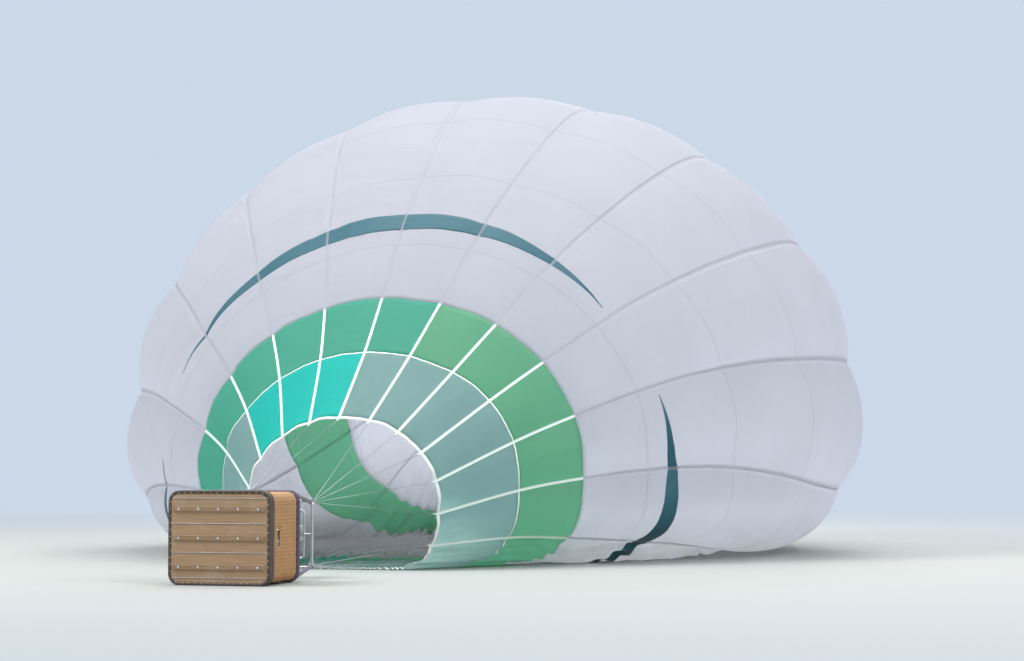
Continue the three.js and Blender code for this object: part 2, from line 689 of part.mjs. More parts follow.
const canFoot = FRAME_HEIGHT + BLOCK.z / 2 + SEAT;
const canProfile = [
  [0, 0],
  [CAN_RADIUS, 0],
  [CAN_RADIUS, CAN_HEIGHT],
  [CAN_RADIUS - CAN_WALL, CAN_HEIGHT],
  [CAN_RADIUS - CAN_WALL, CAN_FLOOR],
  [0, CAN_FLOOR],
];
const coilProfile = [
  [COIL_RADIUS - COIL_TUBE, 0],
  [COIL_RADIUS + COIL_TUBE, 0],
  [COIL_RADIUS + COIL_TUBE, COIL_HEIGHT],
  [COIL_RADIUS - COIL_TUBE, COIL_HEIGHT],
  [COIL_RADIUS - COIL_TUBE, 0],
];
function turned(profile, x, z, sides) {
  const points = profile.map(([radius, height]) => new THREE.Vector2(radius, height));
  return new THREE.LatheGeometry(points, sides).rotateX(Math.PI / 2).translate(x, 0, z);
}
for (const [side, sign] of [['left', -1], ['right', 1]]) {
  addMesh(car, `burner_can_${side}`, turned(canProfile, sign * CAN_X, canFoot, SIDES.can), FINISH.steel);
  const coilFoot = canFoot + CAN_FLOOR + SEAT;
  addMesh(car, `burner_coil_${side}`, turned(coilProfile, sign * CAN_X, coilFoot, SIDES.can), FINISH.steel);
}

// The basket lies on its side, on its rim and its base band, with its floor at -Y.
const carHeight = BASKET_HALF_Y + BASE_BAND.thick;
car.rotation.x = -Math.PI / 2;
car.position.set(0, BASKET_BEHIND_MOUTH, carHeight);
envelope.add(car);

// Flying wires: five from each corner of the load frame to the five nearest tapes at the mouth.
function flyingWires(cornerIndex, sideX, sideY) {
  const lugTop = BASKET_BEHIND_MOUTH + lugHeight + LUG_THICK / 2 + SEAT;
  const foot = new THREE.Vector3(sideX * LUG_X, lugTop, carHeight - sideY * LUG_Y);
  const knot = foot.clone().add(new THREE.Vector3(0, KARABINER_LENGTH, 0));
  const solids = [rod(foot, knot, KARABINER_RADIUS, SIDES.karabiner)];
  for (let k = 0; k < WIRES_PER_CORNER; k += 1) {
    const seam = cornerIndex * WIRES_PER_CORNER + k + 1;
    const share = seamShares(0)[seam];
    const end = pointOn(0, share).addScaledVector(normalOn(0, share), -SHELL / 2);
    const direction = end.clone().sub(knot).normalize();
    const start = knot.clone().addScaledVector(direction, -KARABINER_RADIUS);
    solids.push(rod(start, end.addScaledVector(direction, -WIRE_STAND_OFF), WIRE_RADIUS, SIDES.wire));
  }
  return join(...solids);
}
CORNERS.forEach(([corner, sideX, sideY], i) => {
  addMesh(envelope, `flying_wires_${corner}`, flyingWires(i, sideX, sideY), FINISH.wire);
});

const balloon = new THREE.Group();
envelope.position.z = -MOUTH_CENTRE_HEIGHT;
balloon.add(envelope);

export default balloon;
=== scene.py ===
"""The looks of the hot air balloon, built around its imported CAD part. Metres, +Z up, +Y from mouth to crown.

The envelope's cloth follows the same table of sections as the CAD part, with the bulge, wrinkles and folds
that cold air leaves in it. The basket and burners lie at -Y, towards the camera, and are laid out in the
basket's own upright axes, in millimetres.
"""

import math

import bpy
import numpy as np
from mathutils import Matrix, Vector


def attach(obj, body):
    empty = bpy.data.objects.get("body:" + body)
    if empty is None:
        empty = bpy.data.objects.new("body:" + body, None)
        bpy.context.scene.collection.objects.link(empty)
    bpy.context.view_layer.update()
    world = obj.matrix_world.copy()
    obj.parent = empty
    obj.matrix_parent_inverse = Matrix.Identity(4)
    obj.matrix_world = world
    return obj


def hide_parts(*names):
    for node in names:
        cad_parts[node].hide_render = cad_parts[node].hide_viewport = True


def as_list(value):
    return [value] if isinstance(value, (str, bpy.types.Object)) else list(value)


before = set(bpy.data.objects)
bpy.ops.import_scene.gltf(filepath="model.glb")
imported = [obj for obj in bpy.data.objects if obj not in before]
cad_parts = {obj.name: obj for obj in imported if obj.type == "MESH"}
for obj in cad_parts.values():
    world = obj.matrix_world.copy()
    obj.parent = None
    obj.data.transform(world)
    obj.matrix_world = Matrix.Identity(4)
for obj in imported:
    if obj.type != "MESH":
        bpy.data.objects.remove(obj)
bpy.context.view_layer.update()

MM = 0.001
TAU = 2 * math.pi
GROUND = -1.1  # height of the ground, with the centre of the mouth at 0

# Sections across the envelope, as in the CAD part, in millimetres from the ground. Columns:
# cloth along the top, y, halfWidth, top, widest, bottom, square, gathered
SECTIONS = np.array([
    [0, 0, 1500, 2270, 1050, 0, 3.4, 0.75],
    [1650, 1250, 2430, 3340, 1430, 0, 3.5, 0.75],
    [2930, 2150, 3230, 4250, 1560, 0, 3.6, 0.72],
    [5450, 3900, 4860, 6080, 1850, 0, 3.6, 0.62],
    [9200, 7000, 6520, 8180, 2500, 0, 3.6, 0.42],
    [12400, 10200, 6280, 8150, 2900, 0, 3.5, 0.42],
    [15300, 13000, 4880, 7300, 3400, 350, 2.9, 0.6],
    [17600, 14800, 2200, 5850, 3650, 1450, 2, 1],
    [19720, 15350, 190, 3840, 3650, 3460, 2, 1],
], float)
CLOTH = SECTIONS[:, 0]
Y, HALF_WIDTH, TOP, WIDEST, BOTTOM, SQUARE, GATHERED = range(1, 8)
HEM_END, INNER_END, RING_END = 60, 1650, 2930
CROWN_FROM, CROWN_TO = 14200, 15500  # the green ring near the crown
PARACHUTE_FROM, VENT, VENT_HEM_END, HUB, CROWN = 17350, 17600, 17670, 19500, 19720
EDGES = (HEM_END, INNER_END, RING_END, CROWN_FROM, CROWN_TO, PARACHUTE_FROM, VENT, VENT_HEM_END, HUB, CROWN)

GORES = 20
SEAM_TURN = -0.11  # place of the first seam, in gores clockwise from the top
GATHER_FROM, GATHER_TO = 95, 135  # degrees round from the top
BULGE_TOP, BULGE_SIDE = 0.04, 0.1  # how far a gore stands out, as a share of its width
BULGE_FROM, BULGE_TO = 40, 85  # degrees round from the top
BULGE_FADE = 1500  # length of cloth before the valve over which the bulge fades out
FLATTER_UNDER = 0.03  # share of the depth cut off flat underneath, for each step of squareness over 2
LOWEST = 7  # the cloth stays this far above the ground
ACROSS = 24  # strips across one gore
ROUND = GORES * ACROSS
STEP = 90  # length of one strip along the cloth
SHEET = 0.004  # thickness of a sheet of cloth
PANEL_SEAM, PANEL_PITCH = 4200, 1900  # where the seams across the gores lie
SEAM_ROW = 12  # distance of the rows beside such a seam
BROAD, CREASE, SMALL, PUCKER = 24, 12, 2, 9  # depths of waves, creases, small wrinkles and tape puckers
VENT_FADE, TAPE_FADE = 400, 260  # wrinkles fade out this near to the vent and to a tape
FOLDS, FOLD_DEPTH = 4, 215  # folds across one gathered gore, and their greatest depth
FOLD_TOP, FOLD_FADE = 2300, 1900  # the folds start below this height, and deepen over this much of it
FOLD_MARGIN = 0.09  # no folds this near to a tape, as a share of a gore
# Colour borders curve towards the mouth by this share of the bulge, so that they look even from in front
CUT_BACK = 0.75
CUT_FROM, CUT_TO, CUT_FADE = 900, 7500, 2500  # full curve from here, none beyond here, and the fade to that
LATTICE = 256  # size of the square of random values under the noise


# The envelope's surface
def column(number, cloth):
    """One column of the section table at any length of cloth, by the CAD part's cubic."""
    value = SECTIONS[:, number]
    last = len(CLOTH) - 1
    before = np.maximum(np.arange(last + 1) - 1, 0)
    after = np.minimum(np.arange(last + 1) + 1, last)
    slope = (value[after] - value[before]) / (CLOTH[after] - CLOTH[before])
    i = int(np.clip(np.searchsorted(CLOTH, cloth, side="right") - 1, 0, last - 1))
    span = CLOTH[i + 1] - CLOTH[i]
    t = (cloth - CLOTH[i]) / span
    t2, t3 = t * t, t ** 3
    return ((2 * t3 - 3 * t2 + 1) * value[i] + (t3 - 2 * t2 + t) * span * slope[i]
            + (3 * t2 - 2 * t3) * value[i + 1] + (t3 - t2) * span * slope[i + 1])


def smooth(x):
    x = np.clip(x, 0, 1)
    return x * x * (3 - 2 * x)


def length_along(path):
    """The length so far at each point of a path."""
    return np.concatenate([[0], np.cumsum(np.linalg.norm(np.diff(path, axis=0), axis=1))])


def section(cloth):
    """x, z and the length so far round one cross-section, clockwise from the top as seen from the mouth."""
    half_width, top, widest = (column(k, cloth) for k in (HALF_WIDTH, TOP, WIDEST))
    bottom = max(LOWEST, column(BOTTOM, cloth))
    square = max(2, column(SQUARE, cloth))
    rise = top - widest
    fall = (widest - bottom) * (1 + FLATTER_UNDER * (square - 2))
    angle = TAU * np.arange(361) / 360
    sin, cos = np.sin(angle), np.cos(angle)
    power = np.where(cos < 0, 2 / square, 1.0)
    x = half_width * np.sign(sin) * np.abs(sin) ** power
    z = np.where(cos < 0, np.maximum(bottom, widest - fall * np.abs(cos) ** power), widest + rise * cos)
    return x, z, length_along(np.stack([x, z], 1))


GORE_DEGREES = ((np.arange(GORES) + 0.5 + SEAM_TURN) / GORES * 360) % 360
GORE_FROM_TOP = np.minimum(GORE_DEGREES, 360 - GORE_DEGREES)
GATHER_SHARE = smooth((GORE_FROM_TOP - GATHER_FROM) / (GATHER_TO - GATHER_FROM))
BULGE_SHARE = smooth((GORE_FROM_TOP - BULGE_FROM) / (BULGE_TO - BULGE_FROM))
GORE_BULGE = BULGE_TOP + (BULGE_SIDE - BULGE_TOP) * BULGE_SHARE


def seam_shares(cloth):
    """Where each seam lies, as a share of the girth, and each gore's width, as a share of a free one."""
    widths = 1 - (1 - min(1, column(GATHERED, cloth))) * GATHER_SHARE
    first = SEAM_TURN * widths[0]
    return np.concatenate([[first], first + np.cumsum(widths)]) / widths.sum(), widths


def gore_widths(cloth):
    """The width of every gore at this length of cloth."""
    return np.diff(seam_shares(cloth)[0]) * section(cloth)[2][-1]


def value_noise(u, v, seed, period=LATTICE):
    """Smooth noise from -1 to 1 on a unit lattice. It repeats in u after period."""
    lattice = np.random.default_rng(seed).uniform(-1, 1, (LATTICE, LATTICE))
    u0, v0 = np.floor(u).astype(int), np.floor(v).astype(int)
    fu, fv = smooth(u - u0), smooth(v - v0)
    a, b = u0 % period, (u0 + 1) % period
    c, d = v0 % LATTICE, (v0 + 1) % LATTICE
    near = lattice[a, c] * (1 - fu) + lattice[b, c] * fu
    far = lattice[a, d] * (1 - fu) + lattice[b, d] * fu
    return near * (1 - fv) + far * fv


def rows_between(start, end):
    """Cloth lengths from start to end, with three close ones at each seam across the gores."""
    rows = np.linspace(start, end, max(2, round((end - start) / STEP) + 1))
    for seam in np.arange(PANEL_SEAM, end, PANEL_PITCH):
        if seam > start + STEP:
            near = (np.abs(rows - seam) < STEP / 3) & (rows > start) & (rows < end)
            rows = np.concatenate([rows[~near], [seam - SEAM_ROW, seam, seam + SEAM_ROW]])
    return np.sort(rows)


def offsets(cloth, gore, t, width):
    """How far the cloth stands out of the plain surface, in millimetres: its bulge, wrinkles and seams."""
    u = gore + t
    from_tape = np.minimum(t, 1 - t) * width
    to_vent = smooth((VENT - cloth) / VENT_FADE)
    bulge = GORE_BULGE[gore] * np.clip((PARACHUTE_FROM - cloth) / BULGE_FADE, 0, 1)
    broad = BROAD * value_noise(u * 1.6, cloth / 1500, 3, period=32)
    creases = -CREASE * np.abs(value_noise(u * 4 + cloth / 900, cloth / 620 - u, 5)) ** 0.7
    small = SMALL * value_noise(u * 15, cloth / 130, 9)
    wave = np.sin(cloth / 34 + 9 * value_noise(u * 0.9, cloth / 900, 11))
    uneven = value_noise(u * 1.3, cloth / 420, 13)
    pucker = PUCKER * wave * uneven * np.exp(-from_tape / 170) * smooth(from_tape / 60)
    to_seam = np.abs((cloth - PANEL_SEAM + PANEL_PITCH / 2) % PANEL_PITCH - PANEL_PITCH / 2)
    groove = 4 * np.exp(-((to_seam / 9) ** 2)) - 7 * np.exp(-to_seam / 90)
    on_white = (cloth > RING_END) & (cloth < CROWN_FROM)
    wrinkles = smooth(from_tape / TAPE_FADE) * (broad + creases + small + np.where(on_white, groove, 0))
    return 4 * bulge * width * t * (1 - t) + (wrinkles + pucker) * to_vent


def fold_depth(height, cloth, gore, t, free):
    """Depth of the folds where spare cloth lies gathered on the ground, in millimetres, inward."""
    spare = np.clip((1 - free) / 0.5, 0, 1)
    near_ground = smooth((FOLD_TOP - height) / FOLD_FADE)
    wander = 4 * t * (1 - t) * value_noise((gore + t) * 0.8, cloth / 1100, 17)
    wave = 0.5 - 0.5 * np.cos(TAU * (FOLDS * t + wander))
    ends = smooth(t / FOLD_MARGIN) * smooth((1 - t) / FOLD_MARGIN)
    uneven = 0.75 + 0.25 * value_noise((gore + t) * 3, cloth / 700, 19)
    return FOLD_DEPTH * spare * near_ground * wave * ends * uneven * (0.35 + 0.65 * smooth(cloth / 900))


def curved_rows(points, rows, gore, t, width):
    """The plain surface with its rows curved towards the mouth between the seams."""
    window = smooth(rows / CUT_FROM) * smooth((CUT_TO - rows) / CUT_FADE)
    back = CUT_BACK * (GORE_BULGE * (1 - GATHER_SHARE))[gore] * width * 4 * t * (1 - t) * window[:, None]
    curved = np.empty_like(points)
    for j in range(points.shape[1]):
        for k in range(3):
            curved[:, j, k] = np.interp(rows - back[:, j], rows, points[:, j, k])
    return curved


def cloth_grid(rows):
    """Points, outward directions and flat cloth sizes of the whole envelope at these rows."""
    t = np.tile(np.arange(ACROSS) / ACROSS, GORES)[None, :]
    gore = np.repeat(np.arange(GORES), ACROSS)[None, :]
    points = np.zeros((len(rows), ROUND, 3))
    width = np.zeros(points.shape[:2])
    free = np.zeros(points.shape[:2])
    for i, row in enumerate(rows):
        x, z, length = section(row)
        seams, widths = seam_shares(row)
        at = ((seams[gore[0]] + np.diff(seams)[gore[0]] * t[0]) % 1) * length[-1]
        points[i, :, 0] = np.interp(at, length, x)
        points[i, :, 1] = column(Y, row)
        points[i, :, 2] = np.interp(at, length, z)
        width[i] = np.diff(seams)[gore[0]] * length[-1]
        free[i] = widths[gore[0]]
    points = curved_rows(points, rows, gore, t, width)
    along = np.gradient(points, rows, axis=0)
    around = np.roll(points, -1, 1) - np.roll(points, 1, 1)
    normal = np.cross(around, along)
    normal /= np.linalg.norm(normal, axis=2, keepdims=True)
    cloth = rows[:, None]
    points = points + normal * offsets(cloth, gore, t, width)[..., None]
    points[..., 2] = np.maximum(points[..., 2], LOWEST)
    points = points - normal * fold_depth(points[..., 2], cloth, gore, t, free)[..., None]
    flat = np.stack([(gore + t) * width / free, np.broadcast_to(cloth, width.shape)], 2)
    return points * MM + [0, 0, GROUND], normal, flat * MM


between_edges = [rows_between(*pair) for pair in zip(EDGES, EDGES[1:])]
ROWS = np.unique(np.concatenate([[0, HEM_END / 2], *between_edges]))
POINTS, NORMALS, FLAT = cloth_grid(ROWS)


def on_cloth(cloth, u, out=0.0):
    """Points on the cloth at these lengths of cloth and gore positions, out metres outside it."""
    cloth, u = np.broadcast_arrays(np.asarray(cloth, float), np.asarray(u, float))
    i = np.clip(np.searchsorted(ROWS, cloth, side="right") - 1, 0, len(ROWS) - 2)
    a = np.clip((cloth - ROWS[i]) / (ROWS[i + 1] - ROWS[i]), 0, 1)[..., None]
    across = (u % GORES) * ACROSS
    j = np.floor(across).astype(int)
    b = (across - j)[..., None]
    j0, j1 = j % ROUND, (j + 1) % ROUND

    def between(grid):
        near = grid[i, j0] * (1 - b) + grid[i, j1] * b
        far = grid[i + 1, j0] * (1 - b) + grid[i + 1, j1] * b
        return near * (1 - a) + far * a

    normal = between(NORMALS)
    return between(POINTS) + normal / np.linalg.norm(normal, axis=-1, keepdims=True) * out


# Meshes
def make(name, verts, faces, uvs=None, sharp=None):
    """A smooth object with a UV for each face corner. Edges that turn over sharp degrees stay sharp."""
    mesh = bpy.data.meshes.new(name)
    mesh.from_pydata(np.asarray(verts, float).tolist(), [], [list(map(int, face)) for face in faces])
    if uvs is not None:
        mesh.uv_layers.new(name="UVMap").data.foreach_set("uv", np.asarray(uvs, np.float32).ravel())
    mesh.shade_smooth()
    if sharp:
        mesh.set_sharp_from_angle(angle=math.radians(sharp))
    obj = bpy.data.objects.new(name, mesh)
    bpy.context.scene.collection.objects.link(obj)
    return obj


def show(obj, material, body="root", nodes=(), slot=None):
    """Give a piece its material and its body, and hide the CAD nodes that it stands for. slot is not used."""
    obj.data.materials.append(material)
    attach(obj, body)
    if nodes:
        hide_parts(*nodes)
    return obj


def quads(number):
    return np.stack([number[:-1, :-1], number[:-1, 1:], number[1:, 1:], number[1:, :-1]], -1).reshape(-1, 4)


def sheet_between(outer, inner, flat, wrap=False):
    """Verts, faces and UVs of a closed sheet between two grids of points. The UVs are flat sizes."""
    count = outer[..., 0].size
    number = np.arange(count).reshape(outer.shape[:2])
    if wrap:
        number = np.concatenate([number, number[:, :1]], 1)
    flat_number = np.arange(flat[..., 0].size).reshape(flat.shape[:2])

    def borders(grid):
        found = [(grid[0, 1:], grid[0, :-1]), (grid[-1, :-1], grid[-1, 1:])]
        return found if wrap else found + [(grid[:-1, 0], grid[1:, 0]), (grid[1:, -1], grid[:-1, -1])]

    faces = [quads(number), quads(number)[:, ::-1] + count]
    faces += [np.stack([a, b, b + count, a + count], -1) for a, b in borders(number)]
    corners = [quads(flat_number), quads(flat_number)[:, ::-1]]
    corners += [np.stack([a, b, b, a], -1) for a, b in borders(flat_number)]
    verts = np.concatenate([outer.reshape(-1, 3), inner.reshape(-1, 3)])
    return verts, np.concatenate(faces), flat.reshape(-1, 2)[np.concatenate(corners).ravel()]


def unit(way):
    return way / np.linalg.norm(way)


def beside(way):
    """A direction at right angles to this one."""
    return unit(np.cross(way, [0, 0, 1] if abs(way[2]) < 0.9 else [1, 0, 0]))


def turns(count):
    """Evenly spaced angles round a circle."""
    return TAU * np.arange(count) / count


def spokes(along, across, angle):
    """Directions at these angles in the plane of two directions at right angles."""
    return along * np.cos(angle)[..., None] + across * np.sin(angle)[..., None]


def ring_in(centre, along, across, radius, count):
    """Points round a circle in the plane of two directions at right angles."""
    return centre + radius * spokes(along, across, turns(count))


def circle(centre, radius, count):
    return ring_in(centre, np.array([1, 0, 0]), np.array([0, 1, 0]), radius, count)


def evenly(path, count):
    """Evenly spaced points round a closed level path, and the outward direction at each."""
    path = np.concatenate([path, path[:1]])
    length = length_along(path)
    at = length[-1] * np.arange(count) / count
    points = np.stack([np.interp(at, length, path[:, k]) for k in range(3)], 1)
    tangent = np.roll(points, -1, 0) - np.roll(points, 1, 0)
    tangent /= np.linalg.norm(tangent, axis=1, keepdims=True)
    return points, np.cross(tangent, [0, 0, 1])


def rounded(half_x, half_y, corner, height, steps=16, straight=1):
    """Points round a rectangle with round corners, with straight points along each side."""
    points = []
    for sign_x, sign_y, start in ((1, 1, 0), (-1, 1, 90), (-1, -1, 180), (1, -1, 270)):
        for k in range(steps + 1):
            angle = math.radians(start + 90 * k / steps)
            x = sign_x * (half_x - corner) + corner * math.cos(angle)
            y = sign_y * (half_y - corner) + corner * math.sin(angle)
            points.append(np.array([x, y, height]))
    full = []
    for i, point in enumerate(points):
        after = points[(i + 1) % len(points)]
        pieces = straight if (i + 1) % (steps + 1) == 0 else 1
        full += [point + (after - point) * k / pieces for k in range(pieces)]
    return np.array(full)


UNDERSIDE_Y, BASKET_Z = -4.7, -0.478  # the basket's floor and the middle of its height as it lies


def basket_axes(points):
    """From the basket's own upright axes in millimetres to the part's frame."""
    points = np.asarray(points, float) * MM
    return np.stack([points[..., 0], points[..., 2] + UNDERSIDE_Y, BASKET_Z - points[..., 1]], -1)


class Parts:
    """Several closed forms joined into one mesh. Each method up to block adds one and returns the parts."""

    def __init__(self):
        self.verts, self.faces, self.uvs, self.count = [], [], [], 0

    def add(self, verts, faces, uvs=None):
        verts = np.asarray(verts, float).reshape(-1, 3)
        for face in faces:
            self.faces.append([int(i) + self.count for i in face])
        self.uvs.extend([(0.0, 0.0)] * sum(map(len, faces)) if uvs is None else uvs)
        self.verts.append(verts)
        self.count += len(verts)
        return self

    def sweep(self, rings, closed=False, uvs=None):
        """A form through matching rings of points, closed on itself or capped at both ends."""
        rings = np.asarray(rings, float)
        number = np.arange(rings[..., 0].size).reshape(rings.shape[:2])
        caps = [] if closed else [number[0, ::-1].tolist(), number[-1].tolist()]
        if closed:
            number = np.concatenate([number, number[:1]])
        faces = quads(np.concatenate([number, number[:, :1]], 1)).tolist() + caps
        return self.add(rings, faces, uvs and [uvs[i] for face in faces for i in face])

    def tube(self, path, radius, sides=8, closed=False):
        """A round tube along a path. radius may differ from point to point."""
        path = np.asarray(path, float)
        count = len(path)
        radius = np.broadcast_to(np.asarray(radius, float), (count,))
        if closed:
            tangent = np.roll(path, -1, 0) - np.roll(path, 1, 0)
        else:
            tangent = np.gradient(path, axis=0)
        tangent /= np.linalg.norm(tangent, axis=1, keepdims=True)
        across = [beside(tangent[0])]
        for direction in tangent:
            across.append(unit(across[-1] - direction * (across[-1] @ direction)))
        across = np.array(across[1:])
        if closed:  # spread the twist that is left over along the loop
            other = np.cross(tangent[0], across[0])
            last = across[-1] - tangent[0] * (across[-1] @ tangent[0])
            twist = -math.atan2(last @ other, last @ across[0]) * np.arange(count) / count
            across = spokes(across, np.cross(tangent, across), twist)
        ring = spokes(across[:, None], np.cross(tangent, across)[:, None], turns(sides))
        length = length_along(path)
        uvs = [(k / sides, length[i]) for i in range(count) for k in range(sides)]
        return self.sweep(path[:, None] + ring * radius[:, None, None], closed, uvs)

    def lathe(self, profile, sides, centre=(0, 0, 0), axis=2, closed=False):
        """A profile of (radius, height) turned about an axis, 0 to 2 for x to z."""
        profile = np.asarray(profile, float)
        verts = np.zeros((len(profile), sides, 3))
        verts[..., (axis + 1) % 3] = profile[:, :1] * np.cos(turns(sides))
        verts[..., (axis + 2) % 3] = profile[:, :1] * np.sin(turns(sides))
        verts[..., axis] = profile[:, 1:2]
        return self.sweep(verts + centre, closed)

    def dome(self, centre, way, radius, height, sides=14):
        """A rivet's or bolt's head that stands out one way, and a little into what it holds."""
        centre, way = np.asarray(centre, float), np.asarray(way, float)
        across = beside(way)
        up = np.cross(way, across)
        stations = [(1.0, -0.4), (1.0, 0.25), (0.88, 0.62), (0.6, 0.9), (0.2, 1.0)]
        return self.sweep([ring_in(centre + way * height * out, across, up, radius * wide, sides)
                           for wide, out in stations])

    def block(self, size, centre, bevel):
        """A box with bevelled edges, from three points near each corner, one on each face there."""
        half = np.asarray(size, float) / 2
        corners = np.array(list(np.ndindex(2, 2, 2)))
        verts = (2 * corners[:, None] - 1) * (half - bevel * (1 - np.eye(3)))
        step = (12, 6, 3)  # from a corner's number to its neighbour's along each axis
        faces = []
        for a in range(3):
            b, c = (a + 1) % 3, (a + 2) % 3
            for side in (0, 1):
                ring = [side * step[a] + on_b * step[b] + on_c * step[c] + a
                        for on_b, on_c in ((0, 0), (1, 0), (1, 1), (0, 1))]
                faces.append(ring if side else ring[::-1])
            for on_b, on_c in np.ndindex(2, 2):
                at = on_b * step[b] + on_c * step[c]
                ring = [at + b, at + step[a] + b, at + step[a] + c, at + c]
                faces.append(ring if on_b == on_c else ring[::-1])
        for number, corner in enumerate(corners):
            ring = [3 * number + k for k in range(3)]
            faces.append(ring if sum(corner) % 2 else ring[::-1])
        return self.add(verts + centre, faces)

    def show(self, name, material, sharp=None, place=basket_axes, **role):
        """Make the object. Its forms are in the basket's own axes, or in the frame for place=None."""
        verts = np.concatenate(self.verts)
        obj = make(name, place(verts) if place else verts, self.faces, self.uvs, sharp)
        return show(obj, material, **role)


# Materials
def rgba(colour, dim=1.0):
    return (*(part * dim for part in colour), 1.0)


class Look:
    """A material with a principled shader, and short ways to add nodes to it."""

    def __init__(self, name):
        self.material = bpy.data.materials.new(name)
        self.material.use_nodes = True
        self.tree = self.material.node_tree
        self.tree.nodes.clear()
        self.surface = self.node("OutputMaterial").inputs["Surface"]
        self.shader = self.node("BsdfPrincipled")
        self.connect(self.shader.outputs["BSDF"], self.surface)
        found = self.node("TexCoord").outputs
        self.uv, self.place = found["UV"], found["Object"]

    def connect(self, value, socket):
        if isinstance(value, bpy.types.NodeSocket):
            self.tree.links.new(value, socket)
        else:
            socket.default_value = value

    def node(self, kind, inputs=None, **settings):
        made = self.tree.nodes.new("ShaderNode" + kind)
        for key, value in settings.items():
            setattr(made, key, value)
        for key, value in (inputs or {}).items():
            self.connect(value, made.inputs[key])
        return made

    def noise(self, vector, scale, detail=3.0, roughness=0.5):
        inputs = {"Vector": vector, "Scale": scale, "Detail": detail, "Roughness": roughness}
        return self.node("TexNoise", inputs).outputs["Fac"]

    def calculate(self, operation, a, b=0.0, c=0.0, clamp=False):
        return self.node("Math", {0: a, 1: b, 2: c}, operation=operation, use_clamp=clamp).outputs[0]

    def scaled(self, value, factor, plus=0.0, clamp=False):
        return self.calculate("MULTIPLY_ADD", value, factor, plus, clamp)

    def mix(self, factor, a, b):
        return self.node("Mix", {0: factor, 6: a, 7: b}, data_type="RGBA").outputs[2]

    def bump(self, height, strength, distance, under=None):
        inputs = {"Strength": strength, "Distance": distance, "Height": height}
        if under:
            inputs["Normal"] = under
        return self.node("Bump", inputs).outputs["Normal"]

    def part(self, vector, axis):
        return self.node("SeparateXYZ", {0: vector}).outputs[axis]

    def stretched(self, vector, scale):
        return self.node("Mapping", {"Vector": vector, "Scale": scale}).outputs[0]

    def finish(self, **inputs):
        """Set the shader's inputs, with _ for a space in their names."""
        for key, value in inputs.items():
            self.connect(value, self.shader.inputs[key.replace("_", " ")])
        return self.material


def fabric(name, colour, light_through=0.8, roughness=0.5, seam_shade_lines=False, ground_shade=0.0):
    """Thin coated balloon cloth: ripstop squares, a few soft creases, and some light through it."""
    look = Look(name)
    tint = look.mix(look.noise(look.uv, 0.9, 4.0), rgba(colour, 0.9), rgba(colour))
    # Along each seam across the gores the colour turns darker in a thin line: painted shade of the seam.
    if seam_shade_lines:
        along = look.calculate("SUBTRACT", look.part(look.uv, "Y"), PANEL_SEAM * MM)
        off = look.calculate("PINGPONG", along, PANEL_PITCH * MM / 2)
        tint = look.mix(look.scaled(look.calculate("LESS_THAN", off, 0.012), 0.4), tint, rgba(colour, 0.62))
    # Below about 0.8 m over the ground the colour turns darker and browner in mottled spots: painted shade
    # from the ground.
    if ground_shade:
        low = look.scaled(look.part(look.place, "Z"), -1.1, 1.1 * (GROUND + 0.8), clamp=True)
        spots = look.scaled(low, look.noise(look.place, 3.0, 5.0, 0.7))
        tint = look.mix(look.scaled(spots, ground_shade, clamp=True), tint, rgba((0.30, 0.29, 0.2)))
    threads = [look.node("TexWave", {"Vector": look.uv, "Scale": 28.0}, bands_direction=way).outputs["Fac"]
               for way in ("X", "Y")]
    weave = look.bump(look.calculate("MAXIMUM", *threads), 0.12, 0.0006)
    soft = look.bump(look.noise(look.uv, 3.2, 5.0, 0.55), 0.5, 0.025, weave)
    look.finish(Base_Color=tint, Roughness=roughness, Sheen_Weight=0.15, Sheen_Roughness=0.4, Normal=soft)
    one_face = look.node("Gamma", {"Color": tint, "Gamma": 0.6}).outputs[0]  # light crosses two faces
    through = look.node("BsdfTranslucent", {"Color": one_face, "Normal": soft}).outputs[0]
    both = look.node("MixShader", {0: light_through, 1: look.shader.outputs["BSDF"], 2: through})
    look.connect(both.outputs[0], look.surface)
    return look.material


def metal(name, colour, roughness, stain=None):
    """Metal with fine brush marks, uneven gloss, and a stain where heat or dirt has been."""
    look = Look(name)
    marks = look.noise(look.stretched(look.place, (480, 60, 60)), 3.0, 4.0)
    tint = look.mix(look.noise(look.place, 9.0, 4.0), rgba(colour, 0.86), rgba(colour))
    if stain:
        patch = look.scaled(look.noise(look.place, 16.0, 5.0, 0.7), 3.0, -1.35, clamp=True)
        tint = look.mix(patch, tint, rgba(stain))
    return look.finish(Base_Color=tint, Metallic=1.0, Roughness=look.scaled(marks, 0.22, roughness - 0.08),
                       Normal=look.bump(marks, 0.06, 0.0008))


def wood(name, colour, varnish=0.35):
    """Plywood or batten with grain along x, pores, and pale worn patches."""
    look = Look(name)
    grain = look.noise(look.stretched(look.place, (1.2, 26, 26)), 2.4, 6.0, 0.6)
    pores = look.noise(look.stretched(look.place, (4.8, 104, 104)), 6.0, 3.0)
    worn = look.scaled(look.noise(look.place, 4.0, 5.0, 0.65), 3.2, -1.7, clamp=True)
    tint = look.mix(grain, rgba(colour, 0.45), rgba(colour, 1.25))
    tint = look.mix(look.scaled(worn, 0.45), tint, rgba((0.42, 0.36, 0.27)))
    return look.finish(Base_Color=tint, Coat_Weight=varnish, Coat_Roughness=0.35,
                       Roughness=look.scaled(worn, 0.3, 0.45),
                       Normal=look.bump(look.scaled(pores, 0.4, grain), 0.35, 0.0015))


